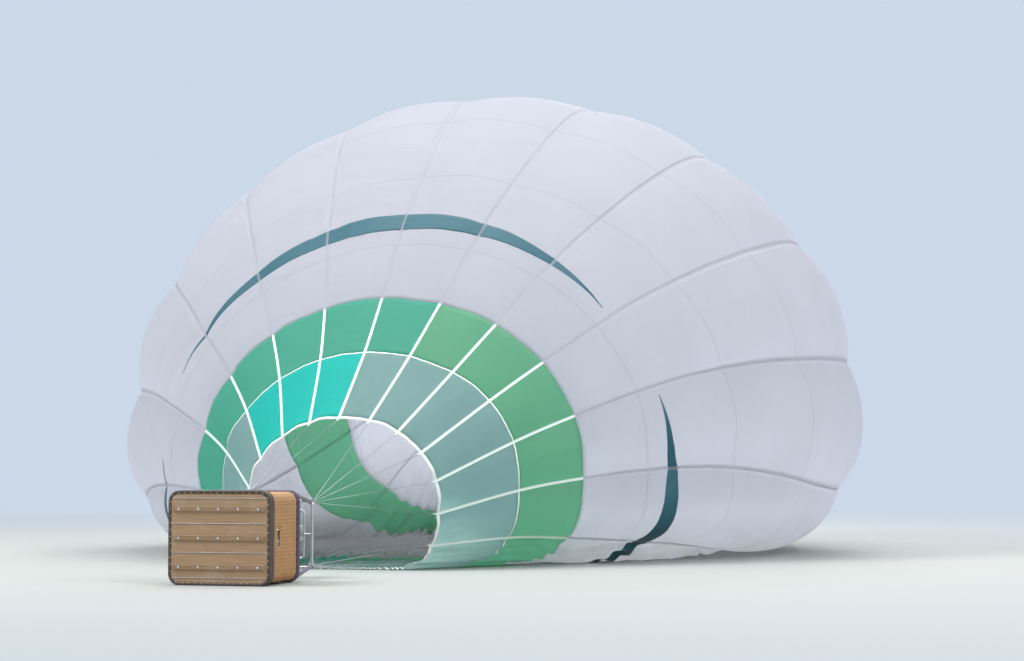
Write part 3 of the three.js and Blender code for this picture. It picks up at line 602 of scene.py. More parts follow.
def wicker(name, colour):
    """Varnished cane: every strand a little different, with long fibres and darker joints."""
    look = Look(name)
    rows = look.noise(look.stretched(look.place, (5, 150, 5)), 1.0, 2.0)
    bands = look.noise(look.stretched(look.place, (0.4, 9, 0.4)), 1.0, 1.0)
    fibres = look.noise(look.stretched(look.uv, (26, 0.05, 1)), 3.0, 3.0)
    tint = look.mix(rows, rgba(colour, 0.42), rgba(colour, 1.35))
    tint = look.mix(look.scaled(bands, 0.35), tint, rgba((0.16, 0.07, 0.025)))
    tint = look.mix(look.scaled(fibres, 0.3), tint, rgba(colour, 1.6))
    return look.finish(Base_Color=tint, Roughness=0.5, Coat_Weight=0.25, Coat_Roughness=0.4,
                       Normal=look.bump(fibres, 0.4, 0.001))


def hide(name, colour, grain=240.0, roughness=0.6, wear=(0.25, 0.22, 0.2), sheen=0.0):
    """Leather or tough woven covering, with grain, soft dents and scuffed places."""
    look = Look(name)
    cells = look.node("TexVoronoi", {"Vector": look.place, "Scale": grain}).outputs["Distance"]
    scuffs = look.scaled(look.noise(look.place, 11.0, 6.0, 0.7), 3.5, -2.0, clamp=True)
    tint = look.mix(look.noise(look.place, 5.0, 3.0), rgba(colour, 0.75), rgba(colour, 1.2))
    tint = look.mix(look.scaled(scuffs, 0.4), tint, rgba(wear))
    fine = look.bump(cells, 0.3, 0.0012)
    return look.finish(Base_Color=tint, Roughness=look.scaled(scuffs, 0.2, roughness), Sheen_Weight=sheen,
                       Normal=look.bump(look.noise(look.place, 22.0, 3.0), 0.35, 0.006, fine))


def cable(name):
    """Stainless wire rope: strands that wind round it, with painted shade in the grooves between them."""
    look = Look(name)
    wound = look.scaled(look.part(look.uv, "Y"), 60.0, look.part(look.uv, "X"))
    lay = look.calculate("SINE", look.scaled(wound, 6 * TAU))
    share = look.scaled(lay, 0.5, 0.5)
    # Dark in the grooves between the strands, the steel's own colour on their crowns: painted shade.
    tint = look.mix(share, rgba((0.2, 0.2, 0.21)), rgba((0.62, 0.63, 0.65)))
    return look.finish(Base_Color=tint, Metallic=1.0, Roughness=0.38, Normal=look.bump(share, 0.5, 0.001))


WHITE = fabric("white_cloth", (0.825, 0.815, 0.865), light_through=0.88, seam_shade_lines=True, ground_shade=0.9)
GREEN = fabric("green_cloth", (0.235, 0.58, 0.37))
# A bluer copy of the green cloth, for the green ring's left half: painted sky light from the left.
SKY_LIT_GREEN = fabric("sky_lit_green_cloth", (0.14, 0.56, 0.41))
GREY_GREEN = fabric("grey_green_cloth", (0.37, 0.56, 0.54), ground_shade=0.5)
TURQUOISE = fabric("turquoise_cloth", (0.034, 0.72, 0.64))
TEAL = fabric("teal_cloth", (0.013, 0.105, 0.138), light_through=0.3)
HEM = fabric("hem_cloth", (0.62, 0.66, 0.62), light_through=0.05, roughness=0.7)
TAPE = fabric("tape_webbing", (0.62, 0.72, 0.65), light_through=0.05, roughness=0.75)
TAPE_ON_WHITE = fabric("tape_webbing_on_white", (0.80, 0.79, 0.83), light_through=0.86, roughness=0.7)
VALVE = fabric("valve_cloth", (0.05, 0.38, 0.10))
STEEL = metal("brushed_stainless", (0.62, 0.63, 0.64), 0.3)
CAN_STEEL = metal("burner_can_steel", (0.52, 0.52, 0.52), 0.3, stain=(0.40, 0.34, 0.29))
COIL_STEEL = metal("heat_tinted_coil", (0.42, 0.37, 0.33), 0.34, stain=(0.10, 0.09, 0.14))
ALUMINIUM = metal("aluminium", (0.70, 0.71, 0.73), 0.36, stain=(0.5, 0.5, 0.5))
BRASS = metal("brass_fittings", (0.66, 0.46, 0.18), 0.3, stain=(0.3, 0.2, 0.08))
WIRE = cable("wire_rope")
WICKER = wicker("varnished_cane", (0.40, 0.22, 0.085))
BOARD = wood("floor_board", (0.36, 0.22, 0.11))
RUNNER_WOOD = wood("runner_wood", (0.28, 0.17, 0.085), varnish=0.2)
HIDE = hide("base_hide", (0.05, 0.038, 0.03))
COVER = hide("suede_cover", (0.035, 0.03, 0.075), grain=420.0, roughness=0.85, wear=(0.11, 0.1, 0.16),
             sheen=0.4)
JACKET = hide("cylinder_jacket", (0.03, 0.04, 0.09), grain=600.0, roughness=0.8, wear=(0.1, 0.1, 0.14),
              sheen=0.2)
STRAP = hide("leather_strap", (0.16, 0.08, 0.035), grain=300.0)
LACE = hide("leather_lace", (0.40, 0.27, 0.15), grain=500.0)
RUBBER = hide("black_grip", (0.02, 0.02, 0.02), grain=900.0, roughness=0.7)


# Envelope
def rows_in(first, last):
    return (ROWS >= first) & (ROWS <= last)


def one_more(flat):
    """Flat sizes with one more column, as far on as the last is from the one before."""
    return np.concatenate([flat, 2 * flat[:, -1:] - flat[:, -2:-1]], 1)


def strip_of(rows, gores, sunk=0.0):
    """Outer and inner points and flat sizes of some rows and gores of cloth, and if they go all round."""
    first, last = gores
    whole = last - first == GORES
    wanted = rows_in(*rows)
    columns = np.arange(first * ACROSS, last * ACROSS + 1) % ROUND
    flat = one_more(FLAT[wanted][:, columns[:-1]])
    if whole:
        columns = columns[:-1]
    points, normal = POINTS[wanted][:, columns], NORMALS[wanted][:, columns]
    return points - normal * sunk, points - normal * (sunk + SHEET), flat, whole


def cut_size(rows, gores):
    """The flat cloth over these rows and gores: its width and length, and its area."""
    lengths = ROWS[rows_in(*rows)]
    widths = np.array([gore_widths(cloth)[0] * (gores[1] - gores[0]) for cloth in lengths]) * MM
    lengths = lengths * MM
    area = float(((widths[1:] + widths[:-1]) / 2 * np.diff(lengths)).sum())
    return (float(widths.max()), float(lengths[-1] - lengths[0])), area


def cloth_piece(name, rows, gores, material, node_name, slot):
    """A piece of the envelope's cloth, its flat size and its flat area."""
    obj = make(name, *sheet_between(*strip_of(rows, gores)))
    return show(obj, material, nodes=[node_name], slot=slot), *cut_size(rows, gores)


for gore in range(GORES):
    number = f"{gore + 1:02d}"
    panel, flat, area = cloth_piece(f"white_cloth_{number}", (RING_END, CROWN_FROM), (gore, gore + 1), WHITE,
                                    f"white_gore_{number}", "white_fabric")

BANDS = [  # name, rows, gores, material, node, slot
    ("green_ring_cloth_right", (INNER_END, RING_END), (1, 11), GREEN, "green_ring", "green_fabric"),
    # The left half of the green ring has the bluer copy of the green cloth: painted sky light.
    ("green_ring_cloth_left", (INNER_END, RING_END), (11, 21), SKY_LIT_GREEN, "green_ring", "green_fabric"),
    ("inner_ring_cloth", (HEM_END, INNER_END), (0, 17), GREY_GREEN, "inner_ring", "grey_green_fabric"),
    ("turquoise_cloth", (HEM_END, INNER_END), (17, 20), TURQUOISE, "turquoise_panels", "turquoise_fabric"),
    ("crown_green_cloth_right", (CROWN_FROM, CROWN_TO), (0, 10), GREEN, "crown_green_ring", "green_fabric"),
    ("crown_green_cloth_left", (CROWN_FROM, CROWN_TO), (10, 20), GREEN, "crown_green_ring", "green_fabric"),
    ("crown_white_cloth_right", (CROWN_TO, VENT), (0, 10), WHITE, "crown_white_ring", "white_fabric"),
    ("crown_white_cloth_left", (CROWN_TO, VENT), (10, 20), WHITE, "crown_white_ring", "white_fabric"),
    ("mouth_hem_cloth", (0, HEM_END), (0, 20), HEM, "mouth_hem", "tape_fabric"),
]
bands = {name: cloth_piece(name, *row) for name, *row in BANDS}

TAPE_SPOTS = np.array([-22, 0, 22])  # points across a tape
TAPE_LIFT = 0.0005


def tapes(name, first_row, last_row, material, thick, nodes=()):
    """Load tapes that follow the cloth from one row to another, just above it."""
    rows = ROWS[rows_in(first_row, last_row)]
    widths = np.array([gore_widths(cloth) for cloth in rows])
    parts = Parts()
    for seam in range(GORES):
        gore_width = np.where(TAPE_SPOTS < 0, widths[:, [seam - 1]], widths[:, [seam]])
        u = seam + TAPE_SPOTS[None, :] / gore_width
        cloth = np.broadcast_to(rows[:, None], u.shape)
        top, under = (on_cloth(cloth, u, out) for out in (TAPE_LIFT + thick, TAPE_LIFT))
        parts.add(*sheet_between(top, under, np.stack([u, cloth * MM], 2)))
    return parts.show(name, material, sharp=50, place=None, nodes=nodes, slot="tape_fabric")


ring_tapes = tapes("load_tapes_on_rings", 0, RING_END, TAPE, 0.004, nodes=["load_tapes"])
white_tapes = tapes("load_tapes_on_white", RING_END, CROWN, TAPE_ON_WHITE, 0.0035)

# Teal crescents sewn on the white. Columns: name, gore position of each tip, cloth at the outer edge's tips
# and middle, width of cloth at the thickest place
CRESCENTS = [
    ("crescent_top", 16.45, 22.85, 4520, 4980, 400),
    ("crescent_right", 4.12, 9.30, 4600, 4960, 430),
    ("crescent_left", 15.35, 10.17, 4600, 4960, 430),
]
TIP_WIDTH = 12
CRESCENT_STRIPS = 8
METRES_PER_GORE = 2.0  # for the crescents' UVs

for name, first, last, tip, middle, thick in CRESCENTS:
    seams = np.arange(math.ceil(min(first, last)), math.ceil(max(first, last)))
    u = np.unique(np.concatenate([np.linspace(first, last, 181), seams]))
    body = np.maximum(np.sin(math.pi * (u - u[0]) / (u[-1] - u[0])), 0)
    outer_edge = tip + (middle - tip) * body
    inner_edge = outer_edge - TIP_WIDTH - thick * body ** 1.2
    share = np.linspace(0, 1, CRESCENT_STRIPS + 1)[:, None]
    cloth = inner_edge * (1 - share) + outer_edge * share
    u = np.broadcast_to(u, cloth.shape)
    top, under = (on_cloth(cloth, u, out) for out in (0.0022, 0.0004))
    crescent = make(name, *sheet_between(top, under, np.stack([u * METRES_PER_GORE, cloth * MM], 2)))
    show(crescent, TEAL, slot="teal_fabric")
    strips = np.cross(top[1:, :-1] - top[:-1, :-1], top[:-1, 1:] - top[:-1, :-1])
    area = float(np.linalg.norm(strips, axis=2).sum())
    length = float(length_along(top[CRESCENT_STRIPS // 2])[-1])

vent_hem = make("vent_hem_tape", *sheet_between(*strip_of((VENT, VENT_HEM_END), (0, GORES))))
show(vent_hem, TAPE_ON_WHITE, slot="tape_fabric")

# Tape round the border between the inner ring and the green ring
EDGE_TAPE_HALF = 14
edge_u = np.broadcast_to(np.arange(ROUND) / ACROSS, (2, ROUND))
edge_cloth = np.broadcast_to([[INNER_END - EDGE_TAPE_HALF], [INNER_END + EDGE_TAPE_HALF]], edge_u.shape)
top, under = (on_cloth(edge_cloth, edge_u, out) for out in (0.0024, 0.0002))
edge_flat = one_more(np.stack([edge_u, edge_cloth * MM], 2))
edge_tape = make("ring_edge_tape", *sheet_between(top, under, edge_flat, wrap=True))
show(edge_tape, TAPE, slot="tape_fabric")

# Parachute valve: a disc of cloth against the inside of the vent, which swells a little between the tapes
VALVE_SUNK = 0.011  # inside the cloth of the vent
VALVE_SWELL = 0.05  # as a share of a gore's width there
VALVE_ROLE = dict(body="parachute", place=None)
VALVE_ROWS = (PARACHUTE_FROM, HUB)
outer, inner, flat, _ = strip_of(VALVE_ROWS, (0, GORES), sunk=VALVE_SUNK)
rows = ROWS[rows_in(*VALVE_ROWS)][:, None]
gore_width = np.array([gore_widths(cloth)[0] for cloth in rows[:, 0]])[:, None]
free = smooth((rows - VENT_HEM_END - 30) / 250) * smooth((HUB - rows) / 60)
t = np.tile(np.arange(ACROSS) / ACROSS, GORES)
creases = np.abs(value_noise(np.arange(ROUND) / ACROSS * 5 + 0 * rows, rows / 420, 47, period=100))
swell = VALVE_SWELL * gore_width * 4 * (t * (1 - t)) - 5 * creases
lift = NORMALS[rows_in(*VALVE_ROWS)] * (swell * free * MM)[..., None]
valve = make("valve_rim", *sheet_between(outer + lift, inner + lift, flat, wrap=True))
show(valve, VALVE, body="parachute", nodes=["parachute_valve"], slot="parachute_fabric")
hub_y, hub_radius = column(Y, HUB) * MM, column(HALF_WIDTH, HUB) * MM
crown_y, crown_height = column(Y, CROWN) * MM, column(WIDEST, CROWN) * MM + GROUND
HUB_PROFILE = [(0.0001, -0.011), (hub_radius * 0.6, -0.011), (hub_radius * 1.02, -0.0115),
               (hub_radius * 1.02, -0.016), (hub_radius * 0.6, -0.0155), (0.0001, -0.0155)]
hub = Parts().lathe(HUB_PROFILE, 60, (0, hub_y, crown_height), axis=1)
hub = hub.show("valve_hub", VALVE, slot="parachute_fabric", **VALVE_ROLE)
PATCH_PROFILE = [(0.0005, 0), (0.112, 0), (0.118, -0.0012), (0.112, 0.0016), (0.0005, 0.0016)]
patch = Parts().lathe(PATCH_PROFILE, 60, (0, hub_y - 0.0104, crown_height), axis=1)
patch = patch.show("valve_centre_patch", HEM, slot="tape_fabric", **VALVE_ROLE)
_, valve_area = cut_size(VALVE_ROWS, (0, GORES))

# Crown ring, and the end of each load tape folded round it
RING_MIDDLE, RING_WIDE, RING_DEEP = 0.163, 0.023, 0.015  # radius, and half the width and depth of its bar
TAPE_END = [(-0.014, 0.0028), (0.014, 0.0028), (0.014, 0.0008), (-0.014, 0.0008)]  # aside, out of the ring


def squarish(x):
    """A cosine or sine for a shape between an ellipse and a rectangle."""
    return abs(x) ** 0.6 * math.copysign(1, x)


profile = [(RING_MIDDLE + RING_WIDE * squarish(math.cos(a)), RING_DEEP * squarish(math.sin(a)))
           for a in turns(16)]
ring = Parts().lathe(profile, 72, (0, crown_y, crown_height), axis=1, closed=True)
ring.show("crown_ring_turned", ALUMINIUM, place=None, nodes=["crown_ring"], slot="aluminium")
folded = Parts()
crown_centre = np.array([0, crown_y, crown_height])
for seam in range(GORES):
    way = unit(on_cloth(CROWN, seam) - crown_centre)
    aside = np.cross(way, [0, 1, 0])
    loops = []
    for half, stand in TAPE_END:
        wide, deep = RING_WIDE + stand, RING_DEEP + stand
        loops.append([crown_centre + way * (RING_MIDDLE + wide * squarish(math.cos(a)))
                      + [0, deep * squarish(math.sin(a)), 0] + aside * half for a in turns(20)])
    folded.sweep(np.swapaxes(loops, 0, 1), closed=True)
folded_ends = folded.show("tape_ends_on_ring", TAPE_ON_WHITE, place=None, slot="tape_fabric")

# Basket, in its own upright axes
CORNERS = [("right_top", 1, -1), ("right_bottom", 1, 1), ("left_bottom", -1, 1), ("left_top", -1, -1)]
WALL_HALF_X, WALL_HALF_Y, WALL_CORNER = 680, 580, 110  # along the middle of the wall
STAKES, STAKE_RADIUS = 102, 5.5
STRAND_RADIUS, STRAND_PITCH, SWAY = 7.9, 14.6, 8.5  # SWAY is how far a strand goes in and out
STEP_HALF_WIDTH, STEP_HALF_HEIGHT, STEP_MIDDLE = 130, 55, 420  # the opening for a foot
STEP_GAP = STEP_HALF_HEIGHT + 8
RIM_HEIGHT, RIM_RADIUS = 1100, 42
BOARD_UNDER, BOARD_TOP = 40, 65


def around_wall(out, count, height=0):
    """Evenly spaced points on a line round the basket, this far outside the middle of its wall."""
    return evenly(rounded(WALL_HALF_X + out, WALL_HALF_Y + out, WALL_CORNER + out, height), count)


def woven_walls():
    """Cane woven in and out of upright stakes, with an opening for a foot in each short side."""
    parts = Parts()
    around = 2 * STAKES
    points, out = around_wall(0, around)
    in_step = (np.abs(points[:, 0]) > 600) & (np.abs(points[:, 1]) < STEP_HALF_WIDTH + 4)
    turned = np.roll(np.arange(around), -int(np.argmax(in_step)))
    cuts = np.nonzero(np.diff(in_step[turned]))[0] + 1
    runs = [run for run in np.split(turned, cuts) if not in_step[run[0]]]
    index = np.arange(around)
    for row, height in enumerate(np.arange(BOARD_TOP + 8, RIM_HEIGHT - RIM_RADIUS - 7, STRAND_PITCH)):
        path = points + out * (SWAY * np.cos(math.pi * (index / 2 + row)))[:, None]
        uneven = value_noise(index * 40 / around, np.full(around, row * 1.7), 23, period=40)
        path[:, 2] = height + 1.2 * uneven
        if abs(height - STEP_MIDDLE) < STEP_GAP:
            for run in runs:
                parts.tube(path[run], STRAND_RADIUS, 6)
        else:
            parts.tube(path, STRAND_RADIUS, 6, closed=True)
    foot, head = BOARD_TOP + 1, RIM_HEIGHT - RIM_RADIUS - 2
    for k in range(0, around, 2):
        x, y, _ = points[k]
        gap = (STEP_MIDDLE - STEP_GAP, STEP_MIDDLE + STEP_GAP) if in_step[k] else ()
        ends = (foot, *gap, head)
        for low, high in zip(ends[::2], ends[1::2]):
            parts.tube([(x, y, low), (x, y, high)], STAKE_RADIUS, 6)
    border, _ = evenly(rounded(STEP_HALF_WIDTH, STEP_HALF_HEIGHT, 24, 0, steps=6), 120)
    for side in (-1, 1):
        path = np.stack([np.full(120, side * WALL_HALF_X), border[:, 0], STEP_MIDDLE + border[:, 1]], 1)
        parts.tube(path, 11.3 + 0.9 * np.cos(math.pi * np.arange(120)), 8, closed=True)
    return parts


woven_walls().show("woven_walls", WICKER, nodes=["basket_walls"], slot="wicker")

RIM_SEAM = -0.9  # angle of the seam round the rim, from outward
UP = np.array([0, 0, 1])


def rim_surface(count, angle, lift=0.0):
    """Rings of points on the padded rim's cover, at angles measured up from outward."""
    path, out = around_wall(0, count, RIM_HEIGHT)
    length = np.arange(count) / count
    channels = (0.5 + 0.5 * np.cos(TAU * 46 * length))[:, None]
    plump = -1.3 * channels * (0.4 + 0.6 * np.cos(angle - RIM_SEAM) ** 2)
    seam = -2.6 * np.exp(-(((angle - RIM_SEAM + math.pi) % TAU - math.pi) / 0.13) ** 2)
    joint = -3.2 * np.exp(-(((length * 8) % 1 - 0.5) / 0.012) ** 2)[:, None]
    dents = 1.2 * value_noise(length[:, None] * 64, angle * 2.2, 29, period=64)
    radius = RIM_RADIUS - 1.2 + plump + seam + joint + dents + lift
    return path[:, None] + radius[..., None] * spokes(out[:, None], UP, angle)


rim = Parts().sweep(rim_surface(368, np.broadcast_to(turns(24), (368, 24))), closed=True)
rim = rim.show("padded_rim", COVER, nodes=["basket_rim"], slot="cover")
lace_angle = RIM_SEAM + 0.3 * np.cos(TAU * np.arange(736) / 4)[:, None]
Parts().tube(rim_surface(736, lace_angle, lift=1.2)[:, 0], 1.8, 5, closed=True).show("rim_lace", LACE)

# Hide band round the foot of the basket, turned under its edge, laced and riveted. Columns: out, height
BAND_OUT = 20.3
BAND_PROFILE = [
    (-23, 37), (6, 36.6), (18, 37.4), (21.7, 41), (21.7, 60), (21.5, 85), (21.7, 110), (21.5, 135),
    (21.7, 160), (21.4, 182), (17, 188.5), (9, 190), (0, 190), (0, 150), (0, 100), (0, 39.9), (-23, 39.9),
]
LACING = [(20, -1, 164), (23.4, -0.6, 167), (23.6, 0.6, 176), (20, 1, 179)]  # out, aside, height
BAND_POINTS, BAND_STIFF = 240, 15  # points round it, and the stand-off below which it doesn't sag
path, out = around_wall(BAND_OUT, BAND_POINTS)
rings = np.zeros((BAND_POINTS, len(BAND_PROFILE), 3))
for k, (stand, height) in enumerate(BAND_PROFILE):
    level = np.full(BAND_POINTS, height / 30)
    sag = 1.6 * np.abs(value_noise(np.arange(BAND_POINTS) / 6, level, 31, period=40))
    rings[:, k] = path + out * (stand - sag * (stand > BAND_STIFF))[:, None] + [0, 0, height]
Parts().sweep(rings, closed=True).show("hide_band", HIDE, nodes=["basket_base_band"], slot="hide")
stitches, rivets = Parts(), Parts()
for point, way in zip(*around_wall(BAND_OUT, 162)):
    slant = np.cross(UP, way) * 5
    stitch = [point + way * stand + slant * side + [0, 0, height] for stand, side, height in LACING]
    stitches.tube(stitch, 1.7, 5)
for point in around_wall(10, 54)[0]:
    rivets.dome(point + [0, 0, 37.2], (0, 0, -1), 8, 3.5)
stitches.show("hide_band_lacing", LACE)
rivets.show("hide_band_rivets", BRASS)

# Floor board on three runners, with the wire ropes that carry the basket passing under it
outline = rounded(700, 600, 130, 0, steps=10)
rings = [outline * [(700 - inset) / 700, (600 - inset) / 600, 1] + [0, 0, height] for inset, height in
         ((4, BOARD_UNDER), (0, BOARD_UNDER + 4), (0, BOARD_TOP - 4), (4, BOARD_TOP))]
Parts().sweep(rings).show("floor_board", BOARD, nodes=["basket_floor"], slot="board", sharp=30)
runners, bolts, plates = Parts(), Parts(), Parts()
for y in (-380, 0, 380):
    verts = runners.block((1300, 70, 40), (0, y, 20), 4).verts[-1]
    verts[(np.abs(verts[:, 0]) > 640) & (verts[:, 2] < 10), 2] += 22  # ends that slope
    for x in (-560, -280, 0, 280, 560):
        plates.lathe([(5, 0.2), (17, 0.2), (17, -1.6), (5, -1.6)], 20, (x, y, 0), closed=True)
        bolts.dome((x, y, -1.2), (0, 0, -1), 10, 4.5)
runners.show("floor_runners", RUNNER_WOOD, slot="board", sharp=30)
bolts.show("runner_bolts", STEEL, slot="steel")
plates.show("runner_washers", STEEL, slot="steel", sharp=30)
ROPE_END = [(668, 46), (664, 39.5), (657, 36.4), (640, 35.6)]  # x, z of its turn up through the board
GROMMET = [(6, 41), (13, 41), (13, 38.6), (9, 37.6), (6, 38.6)]
floor_ropes, grommets = Parts(), Parts()
for y in (-520, -190, 190, 520):
    floor_ropes.tube([(-x, y, z) for x, z in ROPE_END] + [(x, y, z) for x, z in reversed(ROPE_END)], 4, 10)
    for x in (-665, 665):
        grommets.lathe(GROMMET, 20, (x, y, 0), closed=True)
floor_ropes.show("ropes_under_floor", WIRE, slot="wire")
grommets.show("rope_grommets", BRASS)

# Fuel cylinders, each in a padded jacket and strapped in its corner. Profiles are radius and height
CYLINDER_SHELL = [
    (0.5, 22), (98, 24), (106, 20), (106, 1), (119, 1), (120, 8), (120, 28), (132, 42), (141, 58), (145, 76),
    (145, 700), (143, 716), (135, 733), (120, 748), (98, 760), (70, 768), (44, 771), (44, 775), (0.5, 775),
]
COLLAR = [(58, 768), (60, 768), (60, 829), (58, 830), (55, 829), (55, 768)]
VALVE_BODY = [(0.5, 774), (22, 774), (24, 778), (24, 792), (14, 796), (11, 806), (5, 808), (5, 815),
              (0.5, 815)]
GAUGE = [(0.5, -8), (12, -8), (14, -4), (14, 4), (12, 5), (11, 3.5), (0.5, 3.5)]
CYLINDER_X, CYLINDER_Y = 496, 396
JACKET_INSIDE, JACKET_RADIUS = 145.2, 145.8
JACKET_FOOT, JACKET_HEAD = 90, 690
JACKET_HEIGHTS = np.concatenate([[92, 94, 98], np.linspace(104, 676, 40), [682, 686, 688]])
STRAP_HEIGHTS = (250, 550)
STRAP_PROFILE = [(149.6, -19), (151.8, -19), (152.2, -17), (152.2, 17), (151.8, 19), (149.6, 19)]
BUCKLE = [(-22, -24), (22, -24), (22, 24), (-22, 24)]  # aside, up
WHEEL_HEIGHT, WHEEL_RADIUS = 817, 22
angles = turns(64)
across = circle((0, 0, 0), 1, 64)
brass_parts, straps, buckles, gauges, wheels = Parts(), Parts(), Parts(), Parts(), Parts()
for corner, side_x, side_y in CORNERS:
    foot = np.array([side_x * CYLINDER_X, side_y * CYLINDER_Y, BOARD_TOP + 0.4])
    body = Parts().lathe(CYLINDER_SHELL, 48, foot).lathe(COLLAR, 40, foot, closed=True)
    body.show(f"cylinder_shell_{corner}", ALUMINIUM, sharp=35, nodes=[f"fuel_cylinder_{corner}"],
              slot="aluminium")
    outer, inner = [], []
    for height in JACKET_HEIGHTS:
        end = smooth(min(height - JACKET_FOOT, JACKET_HEAD - height) / 14)
        quilt = 1.9 * np.exp(-(((height - 110) % 112 - 56) / 7) ** 2)
        level = np.full(64, height / 70 + side_x)
        crease = 0.9 * np.abs(value_noise(angles / TAU * 12, level, 37, period=12))
        zip_line = 1.6 * np.exp(-((angles - math.pi) / 0.05) ** 2)
        radius = JACKET_RADIUS + 4 * end - end * (quilt + crease + zip_line)
        outer.append(across * radius[:, None] + [0, 0, height])
        inner.append(across * JACKET_INSIDE + [0, 0, height])
    jacket = Parts().sweep(np.array(outer + inner[::-1]) + foot, closed=True)
    jacket.show(f"cylinder_jacket_{corner}", JACKET, slot="cover")
    inward = np.array([-side_x, -side_y, 0]) / math.sqrt(2)
    aside = np.array([-inward[1], inward[0], 0])
    for height in STRAP_HEIGHTS:
        straps.lathe(STRAP_PROFILE, 64, foot + [0, 0, height], closed=True)
        at = foot + inward * 155 + [0, 0, height]
        buckles.tube([at + aside * a + [0, 0, b] for a, b in BUCKLE], 2.6, closed=True)
        buckles.tube([at - aside * 22, at + aside * 24], 2.2)
    outlet = foot + [0, 0, 785]
    brass_parts.lathe(VALVE_BODY, 24, foot).tube([outlet, outlet + inward * 50], 9, 16)
    brass_parts.tube([outlet + inward * 36, outlet + inward * 48], 13, 6)
    middle = foot + [0, 0, WHEEL_HEIGHT]
    wheels.tube(circle(middle, WHEEL_RADIUS, 32), 3.6, closed=True)
    for turn in (0, 1, 2):
        way = np.array([math.cos(turn * math.pi / 3), math.sin(turn * math.pi / 3), 0]) * WHEEL_RADIUS
        wheels.tube([middle - way, middle + way], 2.2)
    gauges.lathe(GAUGE, 28, foot - inward * 34 + [0, 0, 782])
brass_parts.show("cylinder_valves", BRASS, sharp=35)
wheels.show("cylinder_handwheels", RUBBER)
gauges.show("cylinder_gauges", STEEL, slot="steel", sharp=35)
straps.show("cylinder_straps", STRAP, sharp=35)
buckles.show("strap_buckles", STEEL, slot="steel")

# Padded uprights from the rim to the load frame, with bands round them
UPRIGHT_FOOT, UPRIGHT_HEAD = (648, 548, 1143.6), (545, 445, 1960.5)
BAND_SPOTS = (0.045, 0.955, 0.27, 0.5, 0.73)  # shares of an upright's length
BAND_HALF = 0.012
share = np.concatenate([[0, 0.004, 0.01], np.linspace(0.02, 0.98, 61), [0.99, 0.996, 1]])
angles = turns(24)
turn = angles[None, :] / TAU * 6
pinch = sum(np.exp(-((share - at) / 0.013) ** 2) for at in BAND_SPOTS)
ends = smooth(np.minimum(share, 1 - share) / 0.012)
zip_line = np.exp(-((angles - math.pi) / 0.16) ** 2)
for corner, side_x, side_y in CORNERS:
    foot, head = (np.array([side_x * x, side_y * y, z]) for x, y, z in (UPRIGHT_FOOT, UPRIGHT_HEAD))
    dents = value_noise(turn, share[:, None] * 26 + side_x * 3 + side_y, 41, period=6)
    creases = np.abs(value_noise(turn, share[:, None] * 44 + side_x + side_y * 5, 43, period=6))
    radius = (24.5 + 5 * ends - 2.3 * pinch)[:, None] - 1.8 * zip_line[None, :] + 0.5 * dents - 1.3 * creases
    axis = unit(head - foot)
    across = unit(np.cross(axis, [0, side_x, 0]))
    middle = foot + (head - foot) * share[:, None]
    rings = middle[:, None] + radius[..., None] * spokes(across, np.cross(axis, across), angles)
    cover = Parts().sweep(rings)
    cover = cover.show(f"upright_cover_{corner}", COVER, nodes=[f"upright_{corner}"], slot="cover")
    cuffs = Parts()
    for at in BAND_SPOTS:
        near, far = (foot + (head - foot) * (at + side * BAND_HALF) for side in (-1, 1))
        slope = (far - near) * 0.1
        cuffs.tube([near, near + slope, far - slope, far], [28.9, 30.3, 30.3, 28.9], 24)
    cuffs.show(f"upright_bands_{corner}", STRAP)

# Load frame, gimbal and burner. Columns of the short tubes on an axis: from, to, radius, sides
FRAME_HEIGHT = 1980
LUG_X, LUG_Y, LUG_TOP = 545, 445, 2000
GIMBAL_TUBES = [(440, 539.7, 9, 24), (453, 462, 14, 24), (520, 531, 14.5, 6)]
BLOCK_TUBES = [(61, 72, 22, 24), (292, 301, 14, 24)]
steel_frame = Parts().tube(rounded(560, 460, 60, FRAME_HEIGHT, steps=10, straight=8), 20, 24, closed=True)
for _, side_x, side_y in CORNERS:
    x, y = side_x * LUG_X, side_y * LUG_Y
    steel_frame.block((76, 76, 14), (x, y, LUG_TOP), 2.5)
    eye = [(x + 18 * math.cos(a), y, 2005 + 20 * math.sin(a)) for a in np.linspace(0, math.pi, 17)]
    steel_frame.tube(eye, 6, 16)
    for end in (-18, 18):
        weld = circle((x + end, y, 2007.5), 7.5, 24)
        steel_frame.tube(weld, 2 + 0.5 * np.cos(TAU * np.arange(24) / 4), closed=True)
gimbal = Parts().tube(rounded(440, 330, 50, FRAME_HEIGHT, steps=10, straight=8), 14, 20, closed=True)
burner = Parts().block((520, 120, 70), (0, 0, FRAME_HEIGHT), 7)
burner.tube([(0, -315.7, FRAME_HEIGHT), (0, 315.7, FRAME_HEIGHT)], 9, 24)
for side in (-1, 1):
    steel_frame.tube([(side * 541.2, 0, FRAME_HEIGHT), (side * 552, 0, FRAME_HEIGHT)], 16, 24)
    for start, end, radius, sides in GIMBAL_TUBES:
        gimbal.tube([(side * start, 0, FRAME_HEIGHT), (side * end, 0, FRAME_HEIGHT)], radius, sides)
    for start, end, radius, sides in BLOCK_TUBES:
        burner.tube([(0, side * start, FRAME_HEIGHT), (0, side * end, FRAME_HEIGHT)], radius, sides)
    for x in (-225, -75, 75, 225):
        burner.dome((x, side * 59.5, FRAME_HEIGHT), (0, side, 0), 8, 5, sides=6)
steel_frame.show("welded_load_frame", STEEL, nodes=["load_frame"], slot="steel", sharp=35)
gimbal.show("gimbal_tube", STEEL, body="gimbal", nodes=["gimbal_ring"], slot="steel", sharp=35)
burner.show("burner_manifold", STEEL, body="burners", nodes=["burner_block"], slot="steel", sharp=35)

